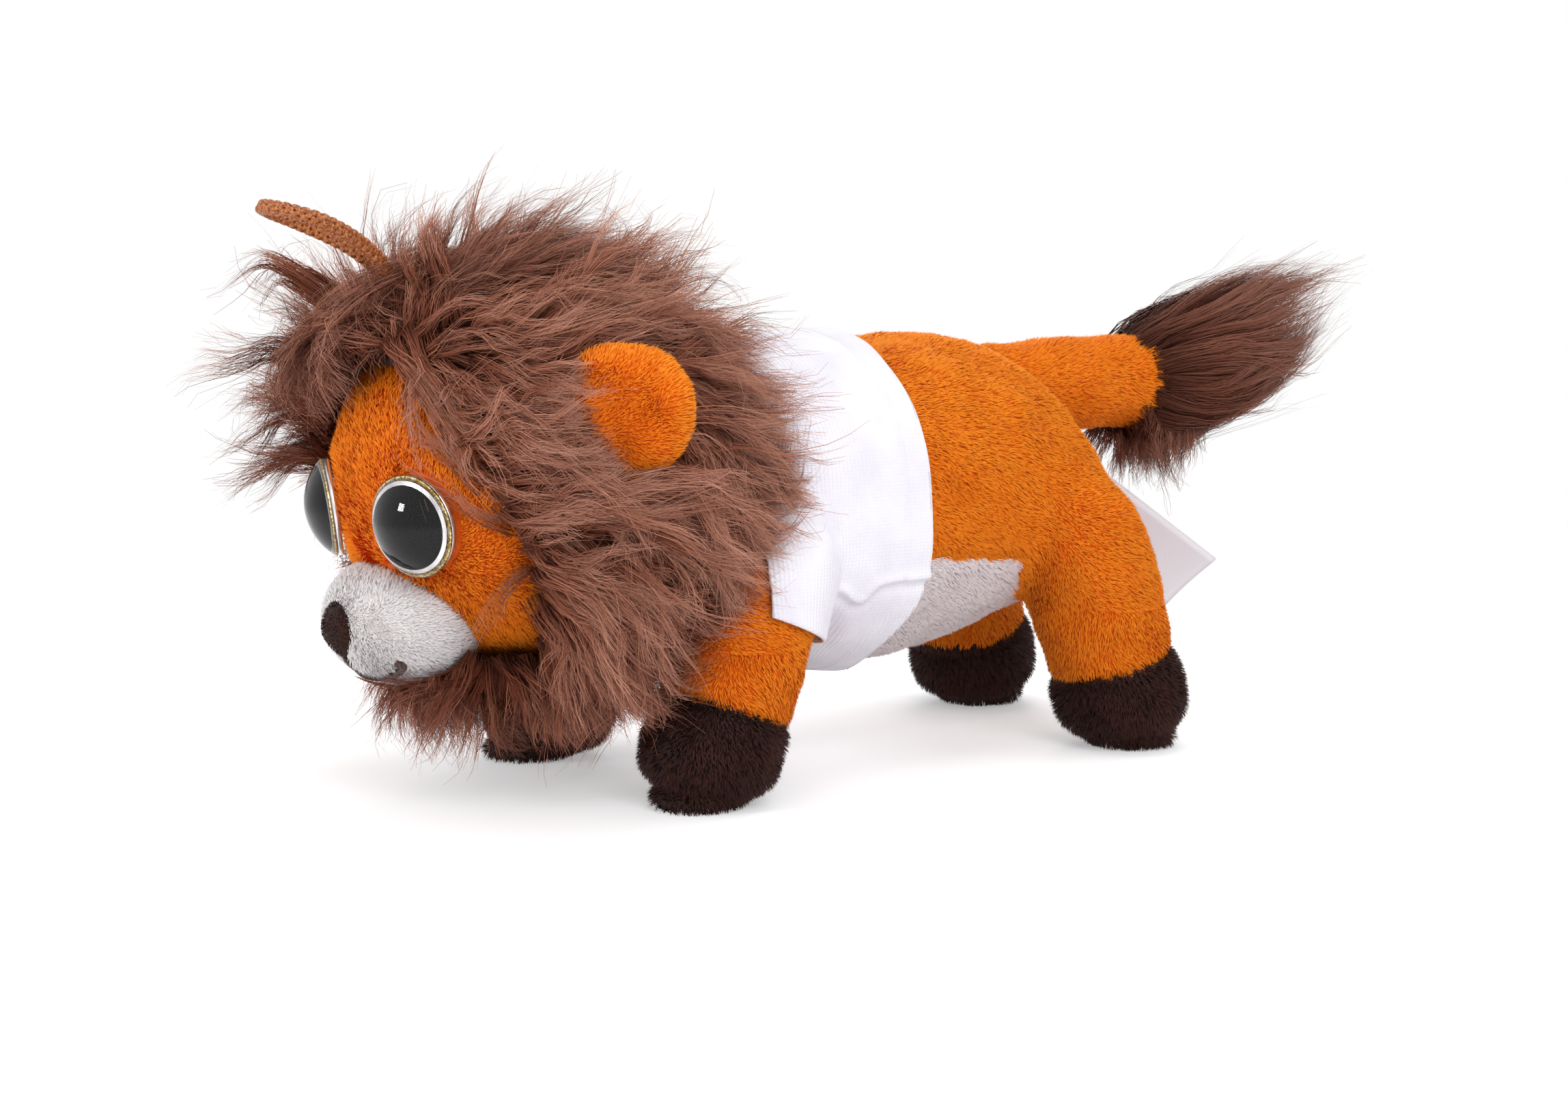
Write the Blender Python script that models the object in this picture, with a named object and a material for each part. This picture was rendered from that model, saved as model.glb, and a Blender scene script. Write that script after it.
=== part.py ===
"""Small plush lion standing on four paws, with a long-pile mane, a T-shirt and a hanging loop.

The lion looks along -Y, its left side is +X and it stands on Z = 0. Every soft piece is a loft of
ovals or an ellipsoid, and what carries it is cut to its shape with a named gap.
"""
import math

import bmesh
import bpy
from mathutils import Matrix, Vector

MM = 0.001
X_AXIS = Vector((1, 0, 0))
Y_AXIS = Vector((0, 1, 0))
Z_AXIS = Vector((0, 0, 1))
SIDES_OF_BODY = (("left", 1), ("right", -1))
BALL_SEGMENTS = 18
BALL_RINGS = 9

# Cloth and the gaps between pieces
PLUSH_THICKNESS = 1.6 * MM
JERSEY_THICKNESS = 1.0 * MM
SEAM_GAP = 0.3 * MM
SEAT_GAP = 0.5 * MM
OVERRUN = 60 * MM
PLUSH_ROUGHNESS = 0.9
PILE_ROUGHNESS = 1.0
LENS_ROUGHNESS = 0.05
PRINT_ROUGHNESS = 0.2
WASHER_ROUGHNESS = 0.5
RIBBON_ROUGHNESS = 0.6
CORD_ROUGHNESS = 0.6

# Body: stations run from the neck to the rump
BODY_LENGTH = 79.7 * MM
BODY_WIDTH = 45 * MM
BODY_HEIGHT = 50 * MM
BODY_AXIS_HEIGHT = 38.6 * MM
BODY_FRONT_Y = -41.7 * MM
# Each row: place along the body, half width, middle above the axis, half height.
# The last three are shares of half the width, half the height and half the height.
BODY_STATION_SHARES = (
    (0.00, 0.66, 0.27, 0.60),
    (0.05, 0.81, 0.17, 0.72),
    (0.15, 0.93, 0.07, 0.86),
    (0.27, 0.99, 0.01, 0.95),
    (0.41, 1.00, -0.02, 0.985),
    (0.55, 1.00, 0.025, 0.965),
    (0.68, 0.97, 0.055, 0.89),
    (0.78, 0.91, 0.035, 0.77),
    (0.865, 0.79, -0.01, 0.60),
    (0.935, 0.61, -0.06, 0.40),
    (0.98, 0.36, -0.09, 0.22),
)
BODY_END_MIDDLE_SHARE = -0.10
BODY_RUMP_Y = BODY_FRONT_Y + BODY_LENGTH
BODY_HALF_HEIGHT = BODY_HEIGHT / 2
BODY_HALF_WIDTH = BODY_WIDTH / 2
BODY_SIDES = 24
BODY_RINGS = 13
# Twenty steps between one station and the next, with the rump's pole as the last station.
BODY_FINE_ROWS = 20 * (len(BODY_STATION_SHARES) + 1) + 1
SLOPE_STEP_SHARE = 0.01

# Belly panel, from behind the collar to the hind legs
BELLY_SEAM_HEIGHT_SHARE = -0.304
BELLY_SEAM_HEIGHT = BODY_AXIS_HEIGHT + BELLY_SEAM_HEIGHT_SHARE * BODY_HALF_HEIGHT
BELLY_FRONT_INSET = 5.7 * MM
BELLY_BACK_INSET = 9 * MM
BELLY_FRONT_Y = BODY_FRONT_Y + BELLY_FRONT_INSET
BELLY_BACK_Y = BODY_RUMP_Y - BELLY_BACK_INSET

# T-shirt
SHIRT_NECK_INSET = 2.7 * MM
SHIRT_LENGTH = 30 * MM
SHIRT_NECK_Y = BODY_FRONT_Y + SHIRT_NECK_INSET
SHIRT_HEM_Y = SHIRT_NECK_Y + SHIRT_LENGTH
SHIRT_RINGS = 6
SLEEVE_LENGTH = 7.5 * MM
SLEEVE_STEP_SHARES = (0, 0.5, 1)

# Head, neck and face
NECK_FORWARD = 0.3 * MM
NECK_HEIGHT_SHARE = 0.296
NECK_PIVOT = Vector((
    0,
    BODY_FRONT_Y - NECK_FORWARD,
    BODY_AXIS_HEIGHT + NECK_HEIGHT_SHARE * BODY_HALF_HEIGHT,
))
NECK_BALL_RADIUS = 12.7 * MM
NECK_REACH = 50 * MM
NECK_CONE_ANGLE = math.radians(12)
NECK_SEGMENTS = 28
SHOULDER_ROOM = 5.5 * MM
HEAD_CENTRE = Vector((0, -63 * MM, 45 * MM))
HEAD_HALF_WIDTH = 29 * MM
HEAD_HALF_DEPTH = 27 * MM
HEAD_HALF_HEIGHT = 26.5 * MM
HEAD_SEGMENTS = 22
HEAD_RINGS = 12
MUZZLE_CENTRE = Vector((0, -82.5 * MM, 26.6 * MM))
MUZZLE_HALF_WIDTH = 13.3 * MM
MUZZLE_HALF_DEPTH = 11 * MM
MUZZLE_HALF_HEIGHT = 9.3 * MM
MUZZLE_SEGMENTS = 20
MUZZLE_RINGS = 12
NOSE_HALF_WIDTH = 3.7 * MM
NOSE_HALF_HEIGHT = 4 * MM
NOSE_HALF_DEPTH = 2.2 * MM
NOSE_RISE = -1 * MM
NOSE_POINT_SHARE = 0.45
NOSE_SEGMENTS = 12
NOSE_RINGS = 8
MOUTH_THREAD_RADIUS = 0.45 * MM
THREAD_SEAT_SHARE = 1.3
THREAD_SIDES = 6
MOUTH_CORNER_ANGLE = math.radians(54)
MOUTH_DROP_ANGLE = math.radians(56)
MOUTH_CORNER_LIFT = math.radians(18)
MOUTH_STEPS = 12
PHILTRUM_STEPS = 4
PHILTRUM_TOP_SHARE = 1.15
PHILTRUM_END_SHARE = 3

# Eyes: a clear dome over a printed back with its shank, held by a washer inside the head
EYE_RADIUS = 7.1 * MM
EYE_DOME_HEIGHT = 3.5 * MM
EYE_BACK_THICKNESS = 0.9 * MM
EYE_SIDE = 12.9 * MM
EYE_HEIGHT = 41 * MM
EYE_OUTWARD_ANGLE = math.radians(22)
EYE_DOWN_ANGLE = math.radians(8)
EYE_SHANK_RADIUS = 1.5 * MM
EYE_SHANK_LENGTH = 7 * MM
WASHER_RADIUS = 4.5 * MM
WASHER_THICKNESS = 1.2 * MM
WASHER_DEPTH = 0.75 * MM
EYE_ROOM_DEPTH = 15 * MM
EYE_SEGMENTS = 16

# Mane: the hood of long pile round the head
MANE_CENTRE = Vector((0, -61 * MM, 45.5 * MM))
MANE_HALF_WIDTH = 38 * MM
MANE_FRONT_DEPTH = 33 * MM
MANE_REAR_DEPTH = 31 * MM
MANE_HALF_HEIGHT = 36 * MM
MANE_GAP = 0.6 * MM
# Its main locks run back from the face, fall to the sides on the way and wave a little
MANE_LOCKS = 20
MANE_LOCK_ROWS = 17
MANE_LOCK_DEPTH = 3.6 * MM
MANE_HOLLOW_SHARE = 0.75
MANE_LUMP_SHARE = 0.25
MANE_LUMPS = 3
MANE_LUMP_STEP_SHARE = 0.38
MANE_SWEEP_SHARE = 0.28
MANE_PARTING_ANGLE = math.radians(45)
MANE_WAVE_ANGLE = math.radians(5)
MANE_WAVE_SHARE = 4.5
MANE_WAVE_TURNS = 3
FACE_HALF_WIDTH = 23.5 * MM
FACE_HALF_HEIGHT = 21.5 * MM
FACE_MIDDLE_HEIGHT = 40 * MM
FACE_CUT_DEPTH = 3.4 * MM
FACE_OUTLINE_POINTS = 12
# Half of the face outline from the widow's peak down to the chin: sideways and up, as shares.
FACE_OUTLINE_SHARES = (
    (0.00, 0.98),
    (0.22, 1.02),
    (0.50, 0.90),
    (0.78, 0.62),
    (0.98, 0.22),
    (1.00, -0.10),
    (0.92, -0.45),
    (0.70, -0.80),
    (0.55, -1.14),
    (0.00, -1.22),
)

# Ears: round pads that stand out of the mane
EAR_HEIGHT = 14 * MM
EAR_HALF_WIDTH = 9 * MM
EAR_HALF_THICKNESS = 3 * MM
EAR_UP_ANGLE = math.radians(22.5)
EAR_BACK_ANGLE = math.radians(2)
EAR_OUTWARD_ANGLE = math.radians(19)
EAR_STATION_SHARES = (
    (0.00, 0.80, 0.30),
    (0.12, 0.91, 0.62),
    (0.30, 1.00, 0.95),
    (0.52, 0.95, 1.00),
    (0.72, 0.79, 0.92),
    (0.88, 0.54, 0.70),
    (0.96, 0.30, 0.42),
)
EAR_SIDES = 16
EAR_RINGS = 7
# The room that the ear has in the mane: an egg, moved forward to bare the ear's front
EAR_ROOM_HALF_WIDTH = 11 * MM
EAR_ROOM_HALF_THICKNESS = 7 * MM
EAR_ROOM_HALF_HEIGHT = 13 * MM
EAR_ROOM_FORWARD = 3 * MM
EAR_ROOM_SEGMENTS = 14
EAR_ROOM_RINGS = 8

# Legs: radius stations run from the joint to the sole
FORE_SIDE_INSET = 3 * MM
FORE_FRONT_INSET = 6.2 * MM
FORE_HEIGHT_SHARE = -0.264
HIND_SIDE_INSET = 5 * MM
HIND_RUMP_INSET = 14.5 * MM
HIND_HEIGHT_SHARE = -0.284
FORE_PIVOT = Vector((
    BODY_HALF_WIDTH - FORE_SIDE_INSET,
    BODY_FRONT_Y + FORE_FRONT_INSET,
    BODY_AXIS_HEIGHT + FORE_HEIGHT_SHARE * BODY_HALF_HEIGHT,
))
HIND_PIVOT = Vector((
    BODY_HALF_WIDTH - HIND_SIDE_INSET,
    BODY_RUMP_Y - HIND_RUMP_INSET,
    BODY_AXIS_HEIGHT + HIND_HEIGHT_SHARE * BODY_HALF_HEIGHT,
))
FORE_SPLAY = 2.5 * MM
HIND_SPLAY = 4 * MM
FORE_SOLE_SIDE = FORE_PIVOT.x + FORE_SPLAY
HIND_SOLE_SIDE = HIND_PIVOT.x + HIND_SPLAY
FORE_LEFT_STEP = 13 * MM
FORE_RIGHT_STEP = 16 * MM
HIND_LEFT_STEP = 8 * MM
HIND_RIGHT_STEP = 11.5 * MM
SOLE_Y = {
    ("fore", "left"): FORE_PIVOT.y - FORE_LEFT_STEP,
    ("fore", "right"): FORE_PIVOT.y - FORE_RIGHT_STEP,
    ("hind", "left"): HIND_PIVOT.y + HIND_LEFT_STEP,
    ("hind", "right"): HIND_PIVOT.y + HIND_RIGHT_STEP,
}
FORE_TOP_RADIUS = 9.6 * MM
HIND_TOP_RADIUS = 11 * MM
PAW_RADIUS = 10 * MM
LEG_ROOM_ANGLE = math.radians(11)
LEG_ROOM_END_SHARE = 1.3
LEG_ROOM_STEPS = 5
# Each row: share of the leg's length, and radius as a share from the top's to the paw's.
LEG_STATION_SHARES = ((0.00, 0.0), (0.20, 0.25), (0.40, 0.70), (0.60, 1.00))
PAW_STATION_SHARES = ((0.60, 1.00), (0.74, 1.02), (0.86, 0.97), (0.95, 0.82), (1.00, 0.63))
LEG_SIDES = 16
LEG_CAP_RINGS = 4
LEG_INNER_CAP_RINGS = 2
PAW_INNER_ROWS = range(0, len(PAW_STATION_SHARES), 2)
LEG_UPRIGHT_SHARE = 0.78

# Tail and its tuft
TAIL_RUMP_INSET = 18 * MM
TAIL_HEIGHT_SHARE = 0.616
TAIL_PIVOT = Vector((
    0,
    BODY_RUMP_Y - TAIL_RUMP_INSET,
    BODY_AXIS_HEIGHT + TAIL_HEIGHT_SHARE * BODY_HALF_HEIGHT,
))
TAIL_BALL_RADIUS = 6.6 * MM
TAIL_RADIUS = 7.6 * MM
TAIL_START = 3.6 * MM
TAIL_LENGTH = 30 * MM
TAIL_SEAT_RADIUS = 10 * MM
TAIL_SEAT_SPREAD = math.radians(14)
TAIL_STATION_SHARES = ((0.00, 0.94), (0.30, 1.00), (0.65, 0.97), (0.92, 1.02), (1.00, 0.98))
TAIL_SIDES = 16
TAIL_RINGS = 5
TAIL_ROOM_SEGMENTS = 24
TUFT_RINGS = 9
LOCK_RINGS = 5
TUFT_LENGTH = 45.1 * MM
TUFT_RADIUS = 12 * MM
TUFT_RISE = 17 * MM
TUFT_SAG = 2 * MM
TUFT_CURL_POWER = 1.5
TUFT_STATION_SHARES = (
    (0.00, 0.72),
    (0.10, 0.93),
    (0.25, 1.00),
    (0.42, 0.88),
    (0.60, 0.66),
    (0.78, 0.40),
    (0.92, 0.17),
)
LOCK_LENGTH = 15 * MM
LOCK_RADIUS = 7 * MM
LOCK_START = 1 * MM
LOCK_LEAN = -2 * MM
LOCK_STATION_SHARES = ((0.00, 0.80), (0.30, 1.00), (0.60, 0.80), (0.85, 0.42))

# Sewn-in label: a folded ribbon that hangs back and aside from the seam under the tail
LABEL_THICKNESS = 0.6 * MM
LABEL_LENGTH = 33.5 * MM
LABEL_WIDTH = 12 * MM
LABEL_SIDE = -1.2 * MM
LABEL_RUMP_INSET = 2.7 * MM
LABEL_HEIGHT_SHARE = 0.24
LABEL_ROOT = Vector((
    LABEL_SIDE,
    BODY_RUMP_Y - LABEL_RUMP_INSET,
    BODY_AXIS_HEIGHT + LABEL_HEIGHT_SHARE * BODY_HALF_HEIGHT,
))
LABEL_ASIDE_ANGLE = math.radians(16)
LABEL_DROP_ANGLE = math.radians(36)
LABEL_ROLL_ANGLE = math.radians(32)

# Hanging loop: the route of its left half, from the crown to the loop's far end
LOOP_RADIUS = 1.15 * MM
LOOP_ROUTE = (
    Vector((1.6 * MM, -83.2 * MM, 72.35 * MM)),
    Vector((1.9 * MM, -86.4 * MM, 75.6 * MM)),
    Vector((3.1 * MM, -89.6 * MM, 77.9 * MM)),
    Vector((4.6 * MM, -93.4 * MM, 79.9 * MM)),
    Vector((5.3 * MM, -97.2 * MM, 81.5 * MM)),
    Vector((4.1 * MM, -100.5 * MM, 82.7 * MM)),
    Vector((1.6 * MM, -102.2 * MM, 83.2 * MM)),
)

LOOP_POINTS = 20
LOOP_BEVEL_RESOLUTION = 2

ORANGE = (0.76, 0.22, 0.02)
BROWN = (0.14, 0.062, 0.038)
DARK_BROWN = (0.045, 0.016, 0.010)
WHITE = (0.85, 0.84, 0.83)
JERSEY = (0.88, 0.87, 0.92)
STUFFING = (0.80, 0.80, 0.76)
BLACK = (0.01, 0.01, 0.01)
CLEAR = (0.70, 0.72, 0.74)
COPPER = (0.47, 0.16, 0.05)


def clear_scene():
    for old in list(bpy.data.objects):
        bpy.data.objects.remove(old, do_unlink=True)


def make_material(name, colour, roughness):
    material = bpy.data.materials.new(name)
    material.use_nodes = True
    shader = material.node_tree.nodes["Principled BSDF"]
    shader.inputs["Base Color"].default_value = (*colour, 1)
    shader.inputs["Roughness"].default_value = roughness
    shader.inputs["Metallic"].default_value = 0
    return material


def add_piece(name, mesh, colour, roughness=PLUSH_ROUGHNESS):
    """A visible piece in its own object, with a material of its own."""
    piece = bpy.data.objects.new(name, mesh)
    bpy.context.collection.objects.link(piece)
    mesh.materials.clear()
    mesh.materials.append(make_material(name + "_finish", colour, roughness))
    mesh.shade_smooth()
    return piece


def add_cutter(name, mesh):
    """A tool body: it shapes other pieces and isn't one itself."""
    tool = bpy.data.objects.new("tool_" + name, mesh)
    bpy.context.collection.objects.link(tool)
    tool.hide_render = True
    tool.display_type = "WIRE"
    return tool


def combine(piece, operation, tools):
    for tool in tools:
        modifier = piece.modifiers.new(tool.name, "BOOLEAN")
        modifier.operation = operation
        modifier.solver = "EXACT"
        modifier.object = tool


def smooth_rows(rows, count):
    """Rows of a station table at even steps, on a smooth curve through the table's own rows."""
    result = []
    last = len(rows) - 1
    for step in range(count):
        place = last * step / (count - 1)
        index = min(int(place), last - 1)
        blend = place - index
        before = rows[max(index - 1, 0)]
        start = rows[index]
        end = rows[index + 1]
        after = rows[min(index + 2, last)]
        row = []
        for a, b, c, d in zip(before, start, end, after):
            slope_in = (c - a) / 2
            slope_out = (d - b) / 2
            square = blend * blend
            cube = square * blend
            row.append(
                (2 * cube - 3 * square + 1) * b
                + (cube - 2 * square + blend) * slope_in
                + (3 * square - 2 * cube) * c
                + (cube - square) * slope_out
            )
        result.append(tuple(row))
    return result


def oval(centre, across, up, half_across, half_up, sides):
    ring = []
    for side in range(sides):
        turn = 2 * math.pi * side / sides
        ring.append(centre + across * half_across * math.cos(turn) + up * half_up * math.sin(turn))
    return ring


def loft(name, rings):
    """A closed mesh through the rings. An end given as one point closes to it."""
    mesh = bpy.data.meshes.new(name)
    build = bmesh.new()
    layers = [[build.verts.new(point) for point in ring] for ring in rings]
    for first, second in zip(layers, layers[1:]):
        count = max(len(first), len(second))
        for side in range(count):
            after = (side + 1) % count
            if len(first) == 1:
                build.faces.new((first[0], second[side], second[after]))
            elif len(second) == 1:
                build.faces.new((first[after], first[side], second[0]))
            else:
                build.faces.new((first[after], first[side], second[side], second[after]))
    for end in (layers[0], layers[-1]):
        if len(end) > 1:
            build.faces.new(end)
    bmesh.ops.recalc_face_normals(build, faces=build.faces)
    build.to_mesh(mesh)
    build.free()
    return mesh


def ellipsoid(name, centre, half_sizes, segments, rings):
    mesh = bpy.data.meshes.new(name)
    build = bmesh.new()
    bmesh.ops.create_uvsphere(build, u_segments=segments, v_segments=rings, radius=1)
    bmesh.ops.scale(build, vec=half_sizes, verts=build.verts)
    bmesh.ops.translate(build, vec=centre, verts=build.verts)
    build.to_mesh(mesh)
    build.free()
    return mesh


def axis_frame(direction, side_hint):
    """Two unit vectors square to the direction, the first near the hint."""
    along = direction.normalized()
    across = (side_hint - along * side_hint.dot(along)).normalized()
    return across, along.cross(across)


def turned(name, origin, direction, profile, sides):
    """A solid of revolution: profile rows are (distance along the axis, radius)."""
    across, up = axis_frame(direction, X_AXIS if abs(direction.normalized().x) < 0.9 else Y_AXIS)
    along = direction.normalized()
    rings = []
    for distance, radius in profile:
        centre = origin + along * distance
        rings.append([centre] if radius == 0 else oval(centre, across, up, radius, radius, sides))
    return loft(name, rings)


def body_rings(offset, first_y=None, last_y=None, count=BODY_RINGS):
    """The body's ovals, moved out by an offset along the surface's slope.

    Without limits the rings end in the rump's pole, and with limits they stop at both planes.
    """
    pole_row = (1.0, 0.0, BODY_END_MIDDLE_SHARE, 0.0)
    fine = smooth_rows(BODY_STATION_SHARES + (pole_row,), BODY_FINE_ROWS)

    def at(along_share):
        for low, high in zip(fine, fine[1:]):
            if low[0] <= along_share < high[0]:
                blend = (along_share - low[0]) / (high[0] - low[0])
                return [a + (b - a) * blend for a, b in zip(low, high)]
        return list(fine[-1])

    if first_y is None:
        shares = [row[0] for row in smooth_rows(BODY_STATION_SHARES, count)]
    else:
        start = (first_y - BODY_FRONT_Y) / BODY_LENGTH
        stop = (last_y - BODY_FRONT_Y) / BODY_LENGTH
        shares = [start + (stop - start) * step / (count - 1) for step in range(count)]
    rings = []
    for share in shares:
        row = at(max(share, 0))
        ahead = at(min(max(share, 0) + SLOPE_STEP_SHARE, 1))
        behind = at(max(share - SLOPE_STEP_SHARE, 0))
        run = (ahead[0] - behind[0]) * BODY_LENGTH
        widening = (ahead[1] - behind[1]) * BODY_HALF_WIDTH
        heightening = (ahead[3] - behind[3]) * BODY_HALF_HEIGHT
        slope = (widening + heightening) / (2 * run)
        if share <= 0 or first_y is not None:
            slope = 0
        lean = math.hypot(1, slope)
        y = BODY_FRONT_Y + share * BODY_LENGTH - offset * slope / lean
        middle = BODY_AXIS_HEIGHT + row[2] * BODY_HALF_HEIGHT
        across = row[1] * BODY_HALF_WIDTH + offset / lean
        up = row[3] * BODY_HALF_HEIGHT + offset / lean
        rings.append(oval(Vector((0, y, middle)), X_AXIS, Z_AXIS, across, up, BODY_SIDES))
    if first_y is None:
        end_middle = BODY_AXIS_HEIGHT + BODY_END_MIDDLE_SHARE * BODY_HALF_HEIGHT
        rings.append([Vector((0, BODY_RUMP_Y + offset, end_middle))])
    return rings


def run_forward(rings, distance):
    """The rings with one more in front of the first, so that a cut reaches past the open front."""
    return [[point - Y_AXIS * distance for point in rings[0]]] + rings


class Leg:
    """One leg's axis, frame and radii, from its joint down to its flat sole."""

    def __init__(self, pair, side, sign):
        self.name = f"{pair}_{side}"
        fore = pair == "fore"
        pivot = FORE_PIVOT if fore else HIND_PIVOT
        self.pivot = Vector((pivot.x * sign, pivot.y, pivot.z))
        sole_side = FORE_SOLE_SIDE if fore else HIND_SOLE_SIDE
        self.sole = Vector((sole_side * sign, SOLE_Y[(pair, side)], 0))
        self.top_radius = FORE_TOP_RADIUS if fore else HIND_TOP_RADIUS
        self.length = (self.sole - self.pivot).length
        self.along = (self.sole - self.pivot).normalized()
        self.across, self.fore_aft = axis_frame(self.along, X_AXIS)

    def radius(self, rise):
        return self.top_radius + (PAW_RADIUS - self.top_radius) * rise

    def oval_at(self, share, radius, spread=0, lift=0):
        """A ring square to the leg, which turns level towards the sole."""
        level = max(0, (share - LEG_UPRIGHT_SHARE) / (1 - LEG_UPRIGHT_SHARE))
        level = level * level * (3 - 2 * level)
        across = (self.across * (1 - level) + X_AXIS * level).normalized()
        hint = -Y_AXIS if self.fore_aft.y < 0 else Y_AXIS
        fore_aft = (self.fore_aft * (1 - level) + hint * level).normalized()
        centre = self.pivot + self.along * (self.length * share) + Z_AXIS * lift
        return oval(centre, across, fore_aft, radius, radius + spread, LEG_SIDES)

    def cap(self, radius, count=LEG_CAP_RINGS):
        """The round top of the leg: a pole and rings down to the joint's level."""
        rings = [[self.pivot - self.along * radius]]
        for step in range(1, count):
            turn = math.pi / 2 * step / count
            centre = self.pivot - self.along * (radius * math.cos(turn))
            flat = radius * math.sin(turn)
            rings.append(oval(centre, self.across, self.fore_aft, flat, flat, LEG_SIDES))
        return rings

    def skin(self):
        """A cup of cloth: outside down to the paw's seam, then the inside back up."""
        inner = PLUSH_THICKNESS
        outside = self.cap(self.top_radius)
        inside = self.cap(self.top_radius - inner, LEG_INNER_CAP_RINGS)
        for share, rise in LEG_STATION_SHARES:
            outside.append(self.oval_at(share, self.radius(rise)))
            inside.append(self.oval_at(share, self.radius(rise) - inner))
        return loft(self.name, outside + inside[::-1])

    def paw_radius(self, value):
        return self.radius(1) * value

    def paw(self):
        """A cup of cloth with a flat sole, open where it is sewn to the leg."""
        gap_share = SEAM_GAP / self.length
        outside = []
        inside = []
        for index, (share, value) in enumerate(PAW_STATION_SHARES):
            place = share + (gap_share if index == 0 else 0)
            outside.append(self.oval_at(place, self.paw_radius(value)))
            lift = PLUSH_THICKNESS if share == 1 else 0
            if index in PAW_INNER_ROWS:
                radius = self.paw_radius(value) - PLUSH_THICKNESS
                inside.append(self.oval_at(place, radius, lift=lift))
        floor = self.sole + Z_AXIS * PLUSH_THICKNESS
        return loft(self.name, [[floor]] + inside[::-1] + outside + [[self.sole]])

    def filling(self):
        """The stuffing that fills the leg and the paw."""
        inner = PLUSH_THICKNESS + SEAM_GAP
        rings = self.cap(self.top_radius - inner, LEG_INNER_CAP_RINGS)
        for share, rise in LEG_STATION_SHARES:
            rings.append(self.oval_at(share, self.radius(rise) - inner))
        for share, value in [PAW_STATION_SHARES[row] for row in PAW_INNER_ROWS[1:]]:
            lift = inner if share == 1 else 0
            rings.append(self.oval_at(share, self.paw_radius(value) - inner, lift=lift))
        rings.append([self.sole + Z_AXIS * inner])
        return loft(self.name, rings)

    def clearance(self, gap):
        """The room that the leg needs, widened fore and aft by its swing."""
        top = self.top_radius + gap
        widest = max(top, PAW_RADIUS + gap)
        rings = self.cap(top)
        for step in range(LEG_ROOM_STEPS):
            share = LEG_ROOM_END_SHARE * step / (LEG_ROOM_STEPS - 1)
            spread = math.tan(LEG_ROOM_ANGLE) * share * self.length
            radius = top + (widest - top) * min(share, 1)
            centre = self.pivot + self.along * (self.length * share)
            long_radius = radius + spread
            rings.append(oval(centre, self.across, self.fore_aft, radius, long_radius, LEG_SIDES))
        return loft(self.name, rings)


LEGS = [Leg(pair, side, sign) for pair in ("fore", "hind") for side, sign in SIDES_OF_BODY]


def leg_rooms(legs, gap, purpose):
    return [add_cutter(f"{leg.name}_{purpose}", leg.clearance(gap)) for leg in legs]


def ball(name, centre, radius):
    return ellipsoid(name, centre, (radius, radius, radius), BALL_SEGMENTS, BALL_RINGS)


def build_body(tools):
    outer = loft("body", body_rings(0))
    hollow = loft("body_inside", run_forward(body_rings(-PLUSH_THICKNESS), OVERRUN))
    inner = add_cutter("body_inside", hollow)
    core = loft("body_core", body_rings(-PLUSH_THICKNESS - SEAM_GAP))
    panel_box = belly_box("belly_box", 0)
    body_box = belly_box("belly_room", SEAM_GAP)
    seats = tools["neck_seat"] + tools["tail_room"]
    legs = tools["hind_rooms"] + tools["fore_rooms"]
    body = add_piece("body_skin", outer, ORANGE)
    combine(body, "DIFFERENCE", [inner] + seats + [body_box] + legs)
    belly = add_piece("belly_panel", outer.copy(), WHITE)
    combine(belly, "INTERSECT", [panel_box])
    combine(belly, "DIFFERENCE", [inner] + legs)
    filling = add_piece("body_stuffing", core, STUFFING)
    combine(filling, "DIFFERENCE", seats + legs)


def belly_box(name, gap):
    low = (-BODY_WIDTH, BELLY_FRONT_Y - gap, -BODY_HEIGHT)
    high = (BODY_WIDTH, BELLY_BACK_Y + gap, BELLY_SEAM_HEIGHT + gap)
    return add_cutter(name, box(name, low, high))


def box(name, low, high):
    mesh = bpy.data.meshes.new(name)
    build = bmesh.new()
    bmesh.ops.create_cube(build, size=1)
    low = Vector(low)
    high = Vector(high)
    bmesh.ops.scale(build, vec=high - low, verts=build.verts)
    bmesh.ops.translate(build, vec=(low + high) / 2, verts=build.verts)
    build.to_mesh(mesh)
    build.free()
    return mesh


def build_shirt(tools):
    """A jersey tube over the chest with two short sleeves over the forelegs."""
    rings = body_rings(SEAM_GAP + JERSEY_THICKNESS, SHIRT_NECK_Y, SHIRT_HEM_Y, SHIRT_RINGS)
    shirt = add_piece("t_shirt", loft("t_shirt", rings), JERSEY)
    sleeves = []
    for leg in LEGS[:2]:
        radius = leg.top_radius + SEAT_GAP + JERSEY_THICKNESS
        share = SLEEVE_LENGTH / leg.length
        spread = math.tan(LEG_ROOM_ANGLE) * SLEEVE_LENGTH
        rings = leg.cap(radius)
        for step in SLEEVE_STEP_SHARES:
            centre = leg.pivot + leg.along * (leg.length * share * step)
            long_radius = radius + spread * step
            rings.append(oval(centre, leg.across, leg.fore_aft, radius, long_radius, LEG_SIDES))
        sleeves.append(add_cutter(leg.name + "_sleeve", loft(leg.name, rings)))
    combine(shirt, "UNION", sleeves)
    chest = add_cutter("chest", loft("chest", body_rings(SEAM_GAP)))
    front = tools["neck_front"]
    combine(shirt, "DIFFERENCE", [chest] + tools["fore_rooms"] + front)


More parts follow.
